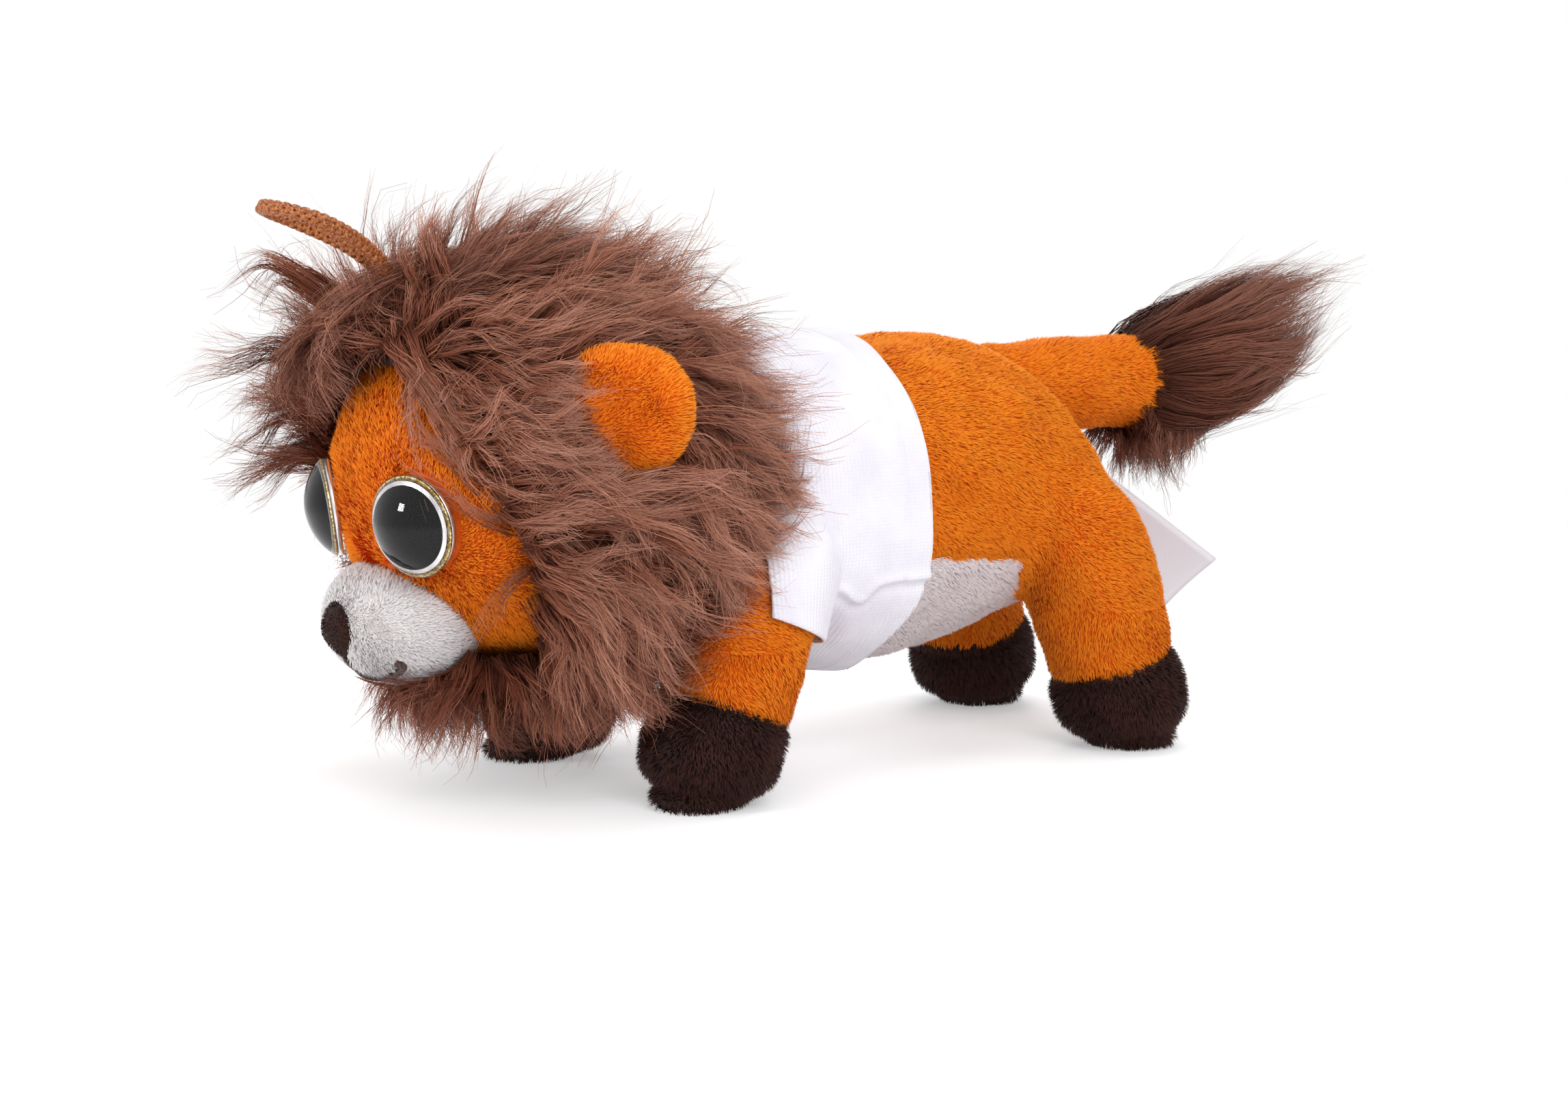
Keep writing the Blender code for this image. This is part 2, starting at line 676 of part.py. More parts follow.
def neck_profile(radius):
    """Ball seat, then a cone that leaves the head room to turn and nod."""
    steps = 6
    start = math.pi / 2 - NECK_CONE_ANGLE
    rows = [(radius, 0)]
    for step in range(1, steps + 1):
        turn = start * step / steps
        rows.append((radius * math.cos(turn), radius * math.sin(turn)))
    reach = NECK_REACH
    rows.append((reach * math.cos(start), reach * math.sin(start)))
    rows.append((-OVERRUN, reach * math.sin(start)))
    rows.append((-OVERRUN, 0))
    return rows


def face_prism(name, margin):
    """The face opening's outline, run forward from inside the head."""
    half = smooth_rows(FACE_OUTLINE_SHARES, FACE_OUTLINE_POINTS)
    points = [(side * (FACE_HALF_WIDTH + margin), up) for side, up in half]
    points += [(-x, up) for x, up in points[-2:0:-1]]
    rings = []
    for y in (HEAD_CENTRE.y - FACE_CUT_DEPTH, HEAD_CENTRE.y - OVERRUN):
        ring = []
        for x, up in points:
            z = FACE_MIDDLE_HEIGHT + up * (FACE_HALF_HEIGHT + margin)
            ring.append(Vector((x, y, z)))
        rings.append(ring)
    return loft(name, rings)


def eye_frame(sign):
    """Where the eye meets the head, and the way it looks."""
    side = EYE_SIDE / HEAD_HALF_WIDTH
    up = (EYE_HEIGHT - HEAD_CENTRE.z) / HEAD_HALF_HEIGHT
    depth = HEAD_HALF_DEPTH * math.sqrt(1 - side * side - up * up)
    place = Vector((EYE_SIDE * sign, HEAD_CENTRE.y - depth, EYE_HEIGHT))
    flat = math.cos(EYE_DOWN_ANGLE)
    look = Vector((
        sign * math.sin(EYE_OUTWARD_ANGLE) * flat,
        -math.cos(EYE_OUTWARD_ANGLE) * flat,
        -math.sin(EYE_DOWN_ANGLE),
    ))
    return place, look


def dome_profile():
    """The lens: flat back at the printed disc, round front."""
    ball = (EYE_RADIUS ** 2 + EYE_DOME_HEIGHT ** 2) / (2 * EYE_DOME_HEIGHT)
    edge = math.asin(EYE_RADIUS / ball)
    base = SEAM_GAP
    rows = [(base, 0), (base, EYE_RADIUS)]
    steps = 6
    for step in range(1, steps):
        turn = edge * (1 - step / steps)
        rows.append((base + EYE_DOME_HEIGHT - ball + ball * math.cos(turn), ball * math.sin(turn)))
    rows.append((base + EYE_DOME_HEIGHT, 0))
    return rows


def wall_depth():
    """How far behind the eye's seat the washer's whole rim is inside the head's inner wall."""
    place, look = eye_frame(1)
    sizes = head_sizes(-PLUSH_THICKNESS)
    across, up = axis_frame(look, X_AXIS)
    run = Vector([part / size for part, size in zip(look, sizes)])
    deepest = 0
    for rim in oval(place, across, up, WASHER_RADIUS, WASHER_RADIUS, EYE_SEGMENTS):
        start = Vector([part / size for part, size in zip(rim - HEAD_CENTRE, sizes)])
        half = start.dot(run)
        root = half * half - run.length_squared * (start.length_squared - 1)
        deepest = max(deepest, (half - math.sqrt(root)) / run.length_squared)
    return deepest


def eye_profiles():
    """Rows of (distance along the look, radius) for each piece of an eye and each tool."""
    back = -EYE_BACK_THICKNESS
    end = back - EYE_SHANK_LENGTH
    hole = EYE_SHANK_RADIUS + SEAM_GAP
    seat = EYE_RADIUS + SEAM_GAP
    loose = EYE_RADIUS + SEAT_GAP
    top = SEAM_GAP + EYE_DOME_HEIGHT + SEAT_GAP
    near = -wall_depth() - WASHER_DEPTH
    far = near - WASHER_THICKNESS
    wide = WASHER_RADIUS + SEAM_GAP
    return {
        "back": [(end, 0), (end, EYE_SHANK_RADIUS), (back, EYE_SHANK_RADIUS)]
        + [(back, EYE_RADIUS), (0, EYE_RADIUS), (0, 0)],
        "washer": [(near, hole), (near, WASHER_RADIUS), (far, WASHER_RADIUS), (far, hole)],
        "seat": [(end - SEAM_GAP, 0), (end - SEAM_GAP, hole), (back - SEAM_GAP, hole)]
        + [(back - SEAM_GAP, seat), (OVERRUN, seat), (OVERRUN, 0)],
        "washer_room": [(far - SEAM_GAP, 0), (far - SEAM_GAP, wide), (OVERRUN, wide), (OVERRUN, 0)],
        "room": [(-EYE_ROOM_DEPTH, 0), (-EYE_ROOM_DEPTH, seat), (OVERRUN, seat), (OVERRUN, 0)],
        "mane_room": [(-EYE_ROOM_DEPTH, 0), (-EYE_ROOM_DEPTH, loose), (top, loose), (top, 0)],
    }


def build_eyes():
    """Lens, printed back with shank, and washer for each eye. Returns the tools that seat them."""
    rows = eye_profiles()
    tools = {"seat": [], "washer_room": [], "room": [], "mane_room": []}
    for side, sign in SIDES_OF_BODY:
        place, look = eye_frame(sign)
        lens = turned("lens", place, look, dome_profile(), EYE_SEGMENTS)
        add_piece(f"eye_lens_{side}", lens, CLEAR, LENS_ROUGHNESS)
        back = turned("back", place, look, rows["back"], EYE_SEGMENTS)
        add_piece(f"eye_back_{side}", back, BLACK, PRINT_ROUGHNESS)
        washer = ring_mesh("washer", place, look, rows["washer"])
        add_piece(f"eye_washer_{side}", washer, WHITE, WASHER_ROUGHNESS)
        for kind, made in tools.items():
            mesh = turned(kind, place, look, rows[kind], EYE_SEGMENTS)
            made.append(add_cutter(f"eye_{kind}_{side}", mesh))
    return tools


def ring_mesh(name, origin, direction, profile):
    """A turned ring with a bore: the profile is a closed loop of (distance, radius)."""
    across, up = axis_frame(direction, X_AXIS)
    along = direction.normalized()
    mesh = bpy.data.meshes.new(name)
    build = bmesh.new()
    layers = []
    for distance, radius in profile:
        ring = oval(origin + along * distance, across, up, radius, radius, EYE_SEGMENTS)
        layers.append([build.verts.new(point) for point in ring])
    for first, second in zip(layers, layers[1:] + layers[:1]):
        for side in range(EYE_SEGMENTS):
            after = (side + 1) % EYE_SEGMENTS
            build.faces.new((first[side], first[after], second[after], second[side]))
    bmesh.ops.recalc_face_normals(build, faces=build.faces)
    build.to_mesh(mesh)
    build.free()
    return mesh


def head_sizes(offset):
    return (HEAD_HALF_WIDTH + offset, HEAD_HALF_DEPTH + offset, HEAD_HALF_HEIGHT + offset)


def muzzle_sizes(offset):
    return (MUZZLE_HALF_WIDTH + offset, MUZZLE_HALF_DEPTH + offset, MUZZLE_HALF_HEIGHT + offset)


def head_shape(name, offset):
    return ellipsoid(name, HEAD_CENTRE, head_sizes(offset), HEAD_SEGMENTS, HEAD_RINGS)


def muzzle_shape(name, offset):
    return ellipsoid(name, MUZZLE_CENTRE, muzzle_sizes(offset), MUZZLE_SEGMENTS, MUZZLE_RINGS)


def build_head():
    """Face and head skin, its stuffing, muzzle, nose and mouth, and the eyes."""
    eye_tools = build_eyes()
    profile = neck_profile(NECK_BALL_RADIUS + SEAM_GAP)
    dish = add_cutter("neck_dish", turned("dish", NECK_PIVOT, -Y_AXIS, profile, NECK_SEGMENTS))
    shoulders = leg_rooms(LEGS[:2], SHOULDER_ROOM, "head_room")
    inside = add_cutter("head_inside", head_shape("head_inside", -PLUSH_THICKNESS))
    head = add_piece("head_skin", head_shape("head", 0), ORANGE)
    combine(head, "DIFFERENCE", [inside, dish] + eye_tools["seat"] + shoulders)
    core = add_piece("head_stuffing", head_shape("core", -PLUSH_THICKNESS - SEAM_GAP), STUFFING)
    combine(core, "DIFFERENCE", [dish] + eye_tools["seat"] + eye_tools["washer_room"] + shoulders)
    add_piece("neck_stuffing", ball("neck", NECK_PIVOT, NECK_BALL_RADIUS), STUFFING)

    outside = add_cutter("head_outside", head_shape("head_outside", SEAM_GAP))
    muzzle = add_piece("muzzle", muzzle_shape("muzzle", 0), WHITE)
    combine(muzzle, "DIFFERENCE", [outside] + eye_tools["room"])
    build_nose()
    build_mouth()
    return outside, eye_tools["mane_room"]


def build_nose():
    centre = Vector((0, MUZZLE_CENTRE.y - MUZZLE_HALF_DEPTH + SEAM_GAP, MUZZLE_CENTRE.z + NOSE_RISE))
    sizes = (NOSE_HALF_WIDTH, NOSE_HALF_DEPTH, NOSE_HALF_HEIGHT)
    mesh = ellipsoid("nose", centre, sizes, NOSE_SEGMENTS, NOSE_RINGS)
    for vertex in mesh.vertices:
        drop = (vertex.co.z - centre.z) / NOSE_HALF_HEIGHT
        narrow = 1 + (NOSE_POINT_SHARE - 1) * max(0, -drop)
        vertex.co.x *= narrow
    nose = add_piece("nose", mesh, DARK_BROWN)
    around = add_cutter("nose_seat", muzzle_shape("nose_seat", SEAM_GAP))
    combine(nose, "DIFFERENCE", [around])


def muzzle_point(turn, drop, lift):
    """A point on the muzzle: turn is sideways from the front, drop is down from level."""
    sizes = muzzle_sizes(lift)
    flat = math.cos(drop)
    way = (math.sin(turn) * flat, -math.cos(turn) * flat, -math.sin(drop))
    return MUZZLE_CENTRE + Vector([size * part for size, part in zip(sizes, way)])


def build_mouth():
    """Embroidered smile under the muzzle and the short line up to the nose."""
    lift = SEAM_GAP + MOUTH_THREAD_RADIUS * THREAD_SEAT_SHARE
    smile = []
    for step in range(MOUTH_STEPS + 1):
        turn = MOUTH_CORNER_ANGLE * (2 * step / MOUTH_STEPS - 1)
        edge = abs(turn) / MOUTH_CORNER_ANGLE
        drop = MOUTH_DROP_ANGLE - MOUTH_CORNER_LIFT * edge ** 3
        smile.append(muzzle_point(turn, drop, lift))
    line = []
    top = math.asin((NOSE_HALF_HEIGHT - NOSE_RISE) / MUZZLE_HALF_HEIGHT) * PHILTRUM_TOP_SHARE
    low = MOUTH_DROP_ANGLE - MOUTH_THREAD_RADIUS * PHILTRUM_END_SHARE / MUZZLE_HALF_HEIGHT
    for step in range(PHILTRUM_STEPS + 1):
        line.append(muzzle_point(0, top + (low - top) * step / PHILTRUM_STEPS, lift))
    add_piece("mouth_stitch", thread(smile, MOUTH_THREAD_RADIUS), DARK_BROWN)
    add_piece("lip_stitch", thread(line, MOUTH_THREAD_RADIUS), DARK_BROWN)


def thread(route, radius):
    rings = []
    for index, point in enumerate(route):
        ahead = route[min(index + 1, len(route) - 1)]
        behind = route[max(index - 1, 0)]
        out = (point - MUZZLE_CENTRE).normalized()
        across, up = axis_frame(ahead - behind, out)
        rings.append(oval(point, across, up, radius, radius, THREAD_SIDES))
    return loft("thread", rings)


def ear_frame(sign):
    """Foot, height, width and thickness directions of an ear."""
    rise = Vector((
        sign * math.cos(EAR_UP_ANGLE) * math.cos(EAR_BACK_ANGLE),
        math.sin(EAR_BACK_ANGLE),
        math.sin(EAR_UP_ANGLE),
    )).normalized()
    scale = 1 / math.sqrt(sum((part / size) ** 2 for part, size in zip(rise, head_sizes(0))))
    foot = HEAD_CENTRE + rise * (scale + SEAT_GAP)
    face = Vector((sign * math.sin(EAR_OUTWARD_ANGLE), -math.cos(EAR_OUTWARD_ANGLE), 0))
    face = (face - rise * face.dot(rise)).normalized()
    return foot, rise, face.cross(rise).normalized(), face


def build_ears(outside):
    """Round padded ears with their feet on the head. Returns the room they need in the mane."""
    rooms = []
    for side, sign in SIDES_OF_BODY:
        foot, rise, width, face = ear_frame(sign)
        rings = []
        for share, wide, thick in smooth_rows(EAR_STATION_SHARES, EAR_RINGS):
            centre = foot + rise * (EAR_HEIGHT * share)
            half_width = EAR_HALF_WIDTH * wide
            half_thickness = EAR_HALF_THICKNESS * thick
            rings.append(oval(centre, width, face, half_width, half_thickness, EAR_SIDES))
        rings.append([foot + rise * EAR_HEIGHT])
        ear = add_piece(f"ear_{side}", loft("ear", rings), ORANGE)
        combine(ear, "DIFFERENCE", [outside])
        middle = foot + rise * (EAR_HEIGHT / 2) + face * EAR_ROOM_FORWARD
        sizes = (EAR_ROOM_HALF_WIDTH, EAR_ROOM_HALF_THICKNESS, EAR_ROOM_HALF_HEIGHT)
        room = ellipsoid("room", (0, 0, 0), sizes, EAR_ROOM_SEGMENTS, EAR_ROOM_RINGS)
        room.transform(Matrix((width, face, rise)).transposed().to_4x4())
        room.transform(Matrix.Translation(middle))
        rooms.append(add_cutter(f"ear_room_{side}", room))
    return rooms


def lock_turn(column, back):
    """Angle from the crown, round the head, of a lock's ridge or hollow at an angle from the front."""
    start = math.pi * column / MANE_LOCKS
    fall = math.exp(MANE_SWEEP_SHARE * (back - MANE_PARTING_ANGLE))
    wave = MANE_WAVE_ANGLE * math.sin(MANE_WAVE_SHARE * back + MANE_WAVE_TURNS * start)
    return 2 * math.atan2(math.sin(start / 2) * fall, math.cos(start / 2)) + wave


def lock_hollow(column, back):
    """How far below the mane's outline a ridge (even columns) or a hollow (odd ones) lies."""
    lump = math.sin(2 * math.pi * MANE_LUMP_STEP_SHARE * column + 2 * MANE_LUMPS * back)
    share = MANE_LUMP_SHARE * (1 + lump) / 2
    if column % 2:
        share += MANE_HOLLOW_SHARE
    return MANE_LOCK_DEPTH * share * math.sin(back)


def mane_shape():
    """The outside of the hood: a round shape of long locks with hollows between them."""
    rings = [[MANE_CENTRE - Y_AXIS * MANE_FRONT_DEPTH]]
    for row in range(1, MANE_LOCK_ROWS):
        back = math.pi * row / MANE_LOCK_ROWS
        depth = MANE_FRONT_DEPTH if back < math.pi / 2 else MANE_REAR_DEPTH
        ring = []
        for column in range(2 * MANE_LOCKS):
            turn = lock_turn(column, back)
            hollow = lock_hollow(column, back)
            ring.append(MANE_CENTRE + Vector((
                (MANE_HALF_WIDTH - hollow) * math.sin(turn) * math.sin(back),
                -(depth - hollow) * math.cos(back),
                (MANE_HALF_HEIGHT - hollow) * math.cos(turn) * math.sin(back),
            )))
        rings.append(ring)
    rings.append([MANE_CENTRE + Y_AXIS * MANE_REAR_DEPTH])
    mesh = loft("mane", rings)
    build = bmesh.new()
    build.from_mesh(mesh)
    bmesh.ops.triangulate(build, faces=build.faces)
    build.to_mesh(mesh)
    build.free()
    return mesh


def build_mane(outside, rooms_in_mane, tools):
    """The hood of long pile: its outer shape, less the head, the face, the ears and the shirt."""
    mane = add_piece("mane", mane_shape(), BROWN, PILE_ROUGHNESS)
    face = add_cutter("face_opening", face_prism("face_opening", 0))
    lift = SEAM_GAP + JERSEY_THICKNESS + MANE_GAP
    chest_rings = run_forward(body_rings(lift), SEAM_GAP)
    chest = add_cutter("shirt_room", loft("shirt_room", chest_rings))
    shoulders = leg_rooms(LEGS[:2], SEAT_GAP + JERSEY_THICKNESS + MANE_GAP, "mane_room")
    muzzle = add_cutter("muzzle_room", muzzle_shape("muzzle_room", SEAT_GAP))
    rooms = [outside, face, chest, muzzle] + shoulders + rooms_in_mane + tools["neck_ball_room"]
    combine(mane, "DIFFERENCE", rooms)


def build_legs():
    for leg in LEGS:
        add_piece(f"leg_{leg.name}", leg.skin(), ORANGE)
        add_piece(f"paw_{leg.name}", leg.paw(), DARK_BROWN)
        add_piece(f"leg_stuffing_{leg.name}", leg.filling(), STUFFING)


def tail_room_profile():
    """Seat of the tail's root ball and the flared room behind it."""
    seat = TAIL_BALL_RADIUS + SEAM_GAP
    rows = [(-seat, 0)]
    steps = 4
    for step in range(1, steps + 1):
        turn = math.pi / 2 * step / steps
        rows.append((-seat * math.cos(turn), seat * math.sin(turn)))
    rows.append((0, TAIL_SEAT_RADIUS))
    rows.append((TAIL_LENGTH, TAIL_SEAT_RADIUS + TAIL_LENGTH * math.tan(TAIL_SEAT_SPREAD)))
    rows.append((TAIL_LENGTH, 0))
    return rows


def tail_tube(shrink, start, stop):
    rings = []
    for share, value in smooth_rows(TAIL_STATION_SHARES, TAIL_RINGS):
        centre = TAIL_PIVOT + Y_AXIS * (start + (stop - start) * share)
        radius = TAIL_RADIUS * value - shrink
        rings.append(oval(centre, X_AXIS, Z_AXIS, radius, radius, TAIL_SIDES))
    return rings


def build_tail():
    """Root ball, the tail's tube of cloth with its stuffing, and the tuft of long pile."""
    add_piece("tail_root_stuffing", ball("tail_root", TAIL_PIVOT, TAIL_BALL_RADIUS), STUFFING)
    seat = add_cutter("tail_cup", ball("tail_cup", TAIL_PIVOT, TAIL_BALL_RADIUS + SEAM_GAP))
    outside = tail_tube(0, TAIL_START, TAIL_LENGTH)
    inside = tail_tube(PLUSH_THICKNESS, TAIL_START - PLUSH_THICKNESS, TAIL_LENGTH - PLUSH_THICKNESS)
    tail = add_piece("tail_skin", loft("tail_skin", outside), ORANGE)
    combine(tail, "DIFFERENCE", [add_cutter("tail_inside", loft("tail_inside", inside)), seat])
    inner = PLUSH_THICKNESS + SEAM_GAP
    filling = tail_tube(inner, TAIL_START, TAIL_LENGTH - inner)
    core = add_piece("tail_stuffing", loft("tail_stuffing", filling), STUFFING)
    combine(core, "DIFFERENCE", [seat])

    root = TAIL_PIVOT + Y_AXIS * (TAIL_LENGTH + SEAM_GAP)
    rings = []
    for share, value in smooth_rows(TUFT_STATION_SHARES, TUFT_RINGS):
        rise = TUFT_RISE * share ** TUFT_CURL_POWER - TUFT_SAG * math.sin(math.pi * share)
        centre = root + Y_AXIS * (TUFT_LENGTH * share) + Z_AXIS * rise
        radius = TUFT_RADIUS * value
        rings.append(oval(centre, X_AXIS, Z_AXIS, radius, radius, TAIL_SIDES))
    rings.append([root + Y_AXIS * TUFT_LENGTH + Z_AXIS * TUFT_RISE])
    tuft = add_piece("tail_tuft", loft("tail_tuft", rings), BROWN, PILE_ROUGHNESS)
    rings = []
    top = root + Y_AXIS * (LOCK_START + LOCK_RADIUS)
    run = Y_AXIS * LOCK_LEAN - Z_AXIS * LOCK_LENGTH
    for share, value in smooth_rows(LOCK_STATION_SHARES, LOCK_RINGS):
        radius = LOCK_RADIUS * value
        rings.append(oval(top + run * share, X_AXIS, Y_AXIS, radius, radius, TAIL_SIDES))
    rings.append([top + run])
    combine(tuft, "UNION", [add_cutter("tuft_lock", loft("tuft_lock", rings))])


def label_frame():
    """The label's directions: along it, across it, and square to its face."""
    drop = math.cos(LABEL_DROP_ANGLE)
    along = Vector((
        math.sin(LABEL_ASIDE_ANGLE) * drop,
        math.cos(LABEL_ASIDE_ANGLE) * drop,
        -math.sin(LABEL_DROP_ANGLE),
    ))
    across = (-Z_AXIS + along * along.z).normalized()
    face = along.cross(across)
    across = across * math.cos(LABEL_ROLL_ANGLE) + face * math.sin(LABEL_ROLL_ANGLE)
    return along, across, along.cross(across)


def build_label():
    """A folded ribbon sewn into the seam behind the rump, cut to the body that holds it."""
    along, across, face = label_frame()
    half = face * (LABEL_THICKNESS / 2)
    top_end = LABEL_ROOT + along * LABEL_LENGTH
    low = across * LABEL_WIDTH
    corners = (LABEL_ROOT, top_end, top_end + low, LABEL_ROOT + low)
    rings = [[corner - half for corner in corners], [corner + half for corner in corners]]
    label = add_piece("sewn_label", loft("sewn_label", rings), WHITE, RIBBON_ROUGHNESS)
    body = add_cutter("label_seam", loft("label_seam", body_rings(SEAM_GAP)))
    combine(label, "DIFFERENCE", [body])


def loop_points():
    right = [Vector((-point.x, point.y, point.z)) for point in LOOP_ROUTE]
    rows = [tuple(point) for point in list(LOOP_ROUTE) + right[::-1]]
    return smooth_rows(rows, LOOP_POINTS)


def build_loop():
    """The hanging loop: one cord, out of the crown and back into it."""
    curve = bpy.data.curves.new("hanging_loop", "CURVE")
    curve.dimensions = "3D"
    curve.bevel_depth = LOOP_RADIUS
    curve.bevel_resolution = LOOP_BEVEL_RESOLUTION
    curve.use_fill_caps = True
    spline = curve.splines.new("POLY")
    points = loop_points()
    spline.points.add(len(points) - 1)
    for target, point in zip(spline.points, points):
        target.co = (*point, 1)
    cord = bpy.data.objects.new("hanging_loop", curve)
    bpy.context.collection.objects.link(cord)
    curve.materials.append(make_material("hanging_loop_finish", COPPER, CORD_ROUGHNESS))


def build_tools():
    """Tool bodies that more than one piece is cut with."""
    seat = NECK_BALL_RADIUS + SEAM_GAP
    low = (-OVERRUN, NECK_PIVOT.y - OVERRUN, -OVERRUN)
    high = (OVERRUN, NECK_PIVOT.y + SEAM_GAP, NECK_PIVOT.z + OVERRUN)
    rooms = leg_rooms(LEGS, SEAT_GAP, "room")
    tail_room = turned("tail_room", TAIL_PIVOT, Y_AXIS, tail_room_profile(), TAIL_ROOM_SEGMENTS)
    return {
        "neck_seat": [add_cutter("neck_seat", ball("neck_seat", NECK_PIVOT, seat))],
        "neck_front": [add_cutter("neck_front", box("neck_front", low, high))],
        "neck_ball_room": [add_cutter("neck_room", ball("neck_room", NECK_PIVOT, seat + MANE_GAP))],
        "fore_rooms": rooms[:2],
        "hind_rooms": rooms[2:],
        "tail_room": [add_cutter("tail_room", tail_room)],
    }


def main():
    clear_scene()
    tools = build_tools()
    build_body(tools)
    build_shirt(tools)
    outside, eye_rooms = build_head()
    ear_rooms = build_ears(outside)
    build_mane(outside, ear_rooms + eye_rooms, tools)
    build_legs()
    build_tail()
    build_label()
    build_loop()


main()
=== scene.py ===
"""Looks of the small plush lion: pile, mane, shirt, eyes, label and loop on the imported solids.

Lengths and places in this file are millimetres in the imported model's own frame, and are turned to
metres where a mesh is made. The lion looks along -Y, its left side is +X and it stands on Z = 0.
"""
import math

import bpy
import numpy as np
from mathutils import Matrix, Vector


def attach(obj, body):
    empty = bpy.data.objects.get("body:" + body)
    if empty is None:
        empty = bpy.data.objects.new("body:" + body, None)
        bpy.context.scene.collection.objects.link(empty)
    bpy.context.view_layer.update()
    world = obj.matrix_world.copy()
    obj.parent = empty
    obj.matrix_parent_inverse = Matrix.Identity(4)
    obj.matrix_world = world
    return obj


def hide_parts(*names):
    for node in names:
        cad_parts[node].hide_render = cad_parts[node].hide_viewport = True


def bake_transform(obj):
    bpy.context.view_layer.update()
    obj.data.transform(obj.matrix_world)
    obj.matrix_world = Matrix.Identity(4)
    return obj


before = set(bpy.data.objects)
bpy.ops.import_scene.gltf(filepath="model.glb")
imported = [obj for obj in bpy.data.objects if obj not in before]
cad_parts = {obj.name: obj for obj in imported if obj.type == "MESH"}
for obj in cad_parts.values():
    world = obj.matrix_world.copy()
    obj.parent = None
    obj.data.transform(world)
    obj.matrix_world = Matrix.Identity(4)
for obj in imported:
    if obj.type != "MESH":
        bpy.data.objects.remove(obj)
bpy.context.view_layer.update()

MM = 0.001
X = np.array((1.0, 0.0, 0.0))
Y = np.array((0.0, 1.0, 0.0))
Z = np.array((0.0, 0.0, 1.0))
TURN = 2 * math.pi
SIDES = (("left", 1), ("right", -1))

# Body: place along, half width, middle above the axis, half height, as shares
BODY_FRONT_Y = -41.7
BODY_LENGTH = 79.7
BODY_HALF_WIDTH = 22.5
BODY_HALF_HEIGHT = 25
BODY_AXIS_HEIGHT = 38.6
BODY_STATION_SHARES = (
    (0.00, 0.66, 0.27, 0.60),
    (0.05, 0.81, 0.17, 0.72),
    (0.15, 0.93, 0.07, 0.86),
    (0.27, 0.99, 0.01, 0.95),
    (0.41, 1.00, -0.02, 0.985),
    (0.55, 1.00, 0.025, 0.965),
    (0.68, 0.97, 0.055, 0.89),
    (0.78, 0.91, 0.035, 0.77),
    (0.865, 0.79, -0.01, 0.60),
    (0.935, 0.61, -0.06, 0.40),
    (0.98, 0.36, -0.09, 0.22),
    (1.00, 0.00, -0.10, 0.00),
)
BODY_SIDES = 64
SHIRT_HEM_Y = -9
SHIRT_LIFT = 1.3
SLEEVE_LIFT = 1.5
SLEEVE_LENGTH = 7.5

HEAD_CENTRE = np.array((0.0, -63.0, 45.0))
HEAD_SIZE = np.array((29.0, 27.0, 26.5))
MUZZLE_CENTRE = np.array((0.0, -82.5, 26.6))
MUZZLE_SIZE = np.array((13.3, 11.0, 9.3))
MANE_CENTRE = np.array((0.0, -61.0, 45.5))
MANE_SIZE = np.array((38.0, 33.0, 36.0))
FACE_HALF_WIDTH = 23.5
FACE_HALF_HEIGHT = 21.5
FACE_MIDDLE_HEIGHT = 40
FACE_FRONT_Y = -66.4
FACE_BACK_Y = -50
HOOD_BACK_Y = -38
HOOD_LIFT = 0.6
HEAD_FINENESS = (120, 90)
FACE_OUTLINE_SHARES = (
    (0.00, 0.98), (0.22, 1.02), (0.50, 0.90), (0.78, 0.62), (0.98, 0.22),
    (1.00, -0.10), (0.92, -0.45), (0.70, -0.80), (0.55, -1.14), (0.00, -1.22),
)

# Each leg: body, joint, sole and the radius at the joint
PAW_RADIUS = 10.0
LEGS = (
    ("fore_left", "left_fore_leg", (19.5, -35.5, 32.0), (22.0, -48.5, 0.0), 9.6),
    ("fore_right", "right_fore_leg", (-19.5, -35.5, 32.0), (-22.0, -51.5, 0.0), 9.6),
    ("hind_left", "left_hind_leg", (17.5, 23.5, 31.5), (21.5, 31.5, 0.0), 11.0),
    ("hind_right", "right_hind_leg", (-17.5, 23.5, 31.5), (-21.5, 35.0, 0.0), 11.0),
)
LEG_RADIUS_SHARES = ((0.0, 0.0), (0.2, 0.25), (0.4, 0.7), (0.6, 1.0))
PAW_RADIUS_SHARES = ((0.6, 1.0), (0.74, 1.02), (0.86, 0.97), (0.95, 0.82), (1.0, 0.63))
PAW_SEAM_SHARE = 0.60
LEG_UPRIGHT_SHARE = 0.78
LEG_SIDES = 32
LEG_BEND_TOP = 23
LEG_BEND_FOOT = 12
FILLING_INSET = 2.8
FILLING_END_SHARE = 0.86
HIP_OFF = np.array((0.0, 1.0, 8.0))

TAIL_PIVOT = np.array((0.0, 20.0, 54.0))
TAIL_RADIUS = 7.6
TAIL_LENGTH = 30
TAIL_FILLING_RADIUS = 5.2

EYE_PLACE = np.array((12.9, -87.14, 41.0))
EYE_RADIUS = 7.1
EYE_DOME_HEIGHT = 3.5
EYE_OUTWARD_ANGLE = math.radians(22)
EYE_DOWN_ANGLE = math.radians(8)


def unit(vectors):
    return vectors / np.maximum(np.linalg.norm(vectors, axis=-1, keepdims=True), 1e-9)


def smoothstep(values, low, high):
    share = np.clip((values - low) / (high - low), 0, 1)
    return share * share * (3 - 2 * share)


DRIFT_WAVES = 6


def drift(points, size, seed):
    """Smooth noise from about -1 to 1 whose bumps are the given size across."""
    rng = np.random.default_rng(seed)
    ways = unit(rng.normal(size=(DRIFT_WAVES, 3))) * (TURN / size)
    ways = ways * rng.uniform(0.6, 1.3, (DRIFT_WAVES, 1))
    phases = rng.uniform(0, TURN, DRIFT_WAVES)
    return np.sin(points @ ways.T + phases).sum(axis=-1) / math.sqrt(DRIFT_WAVES)


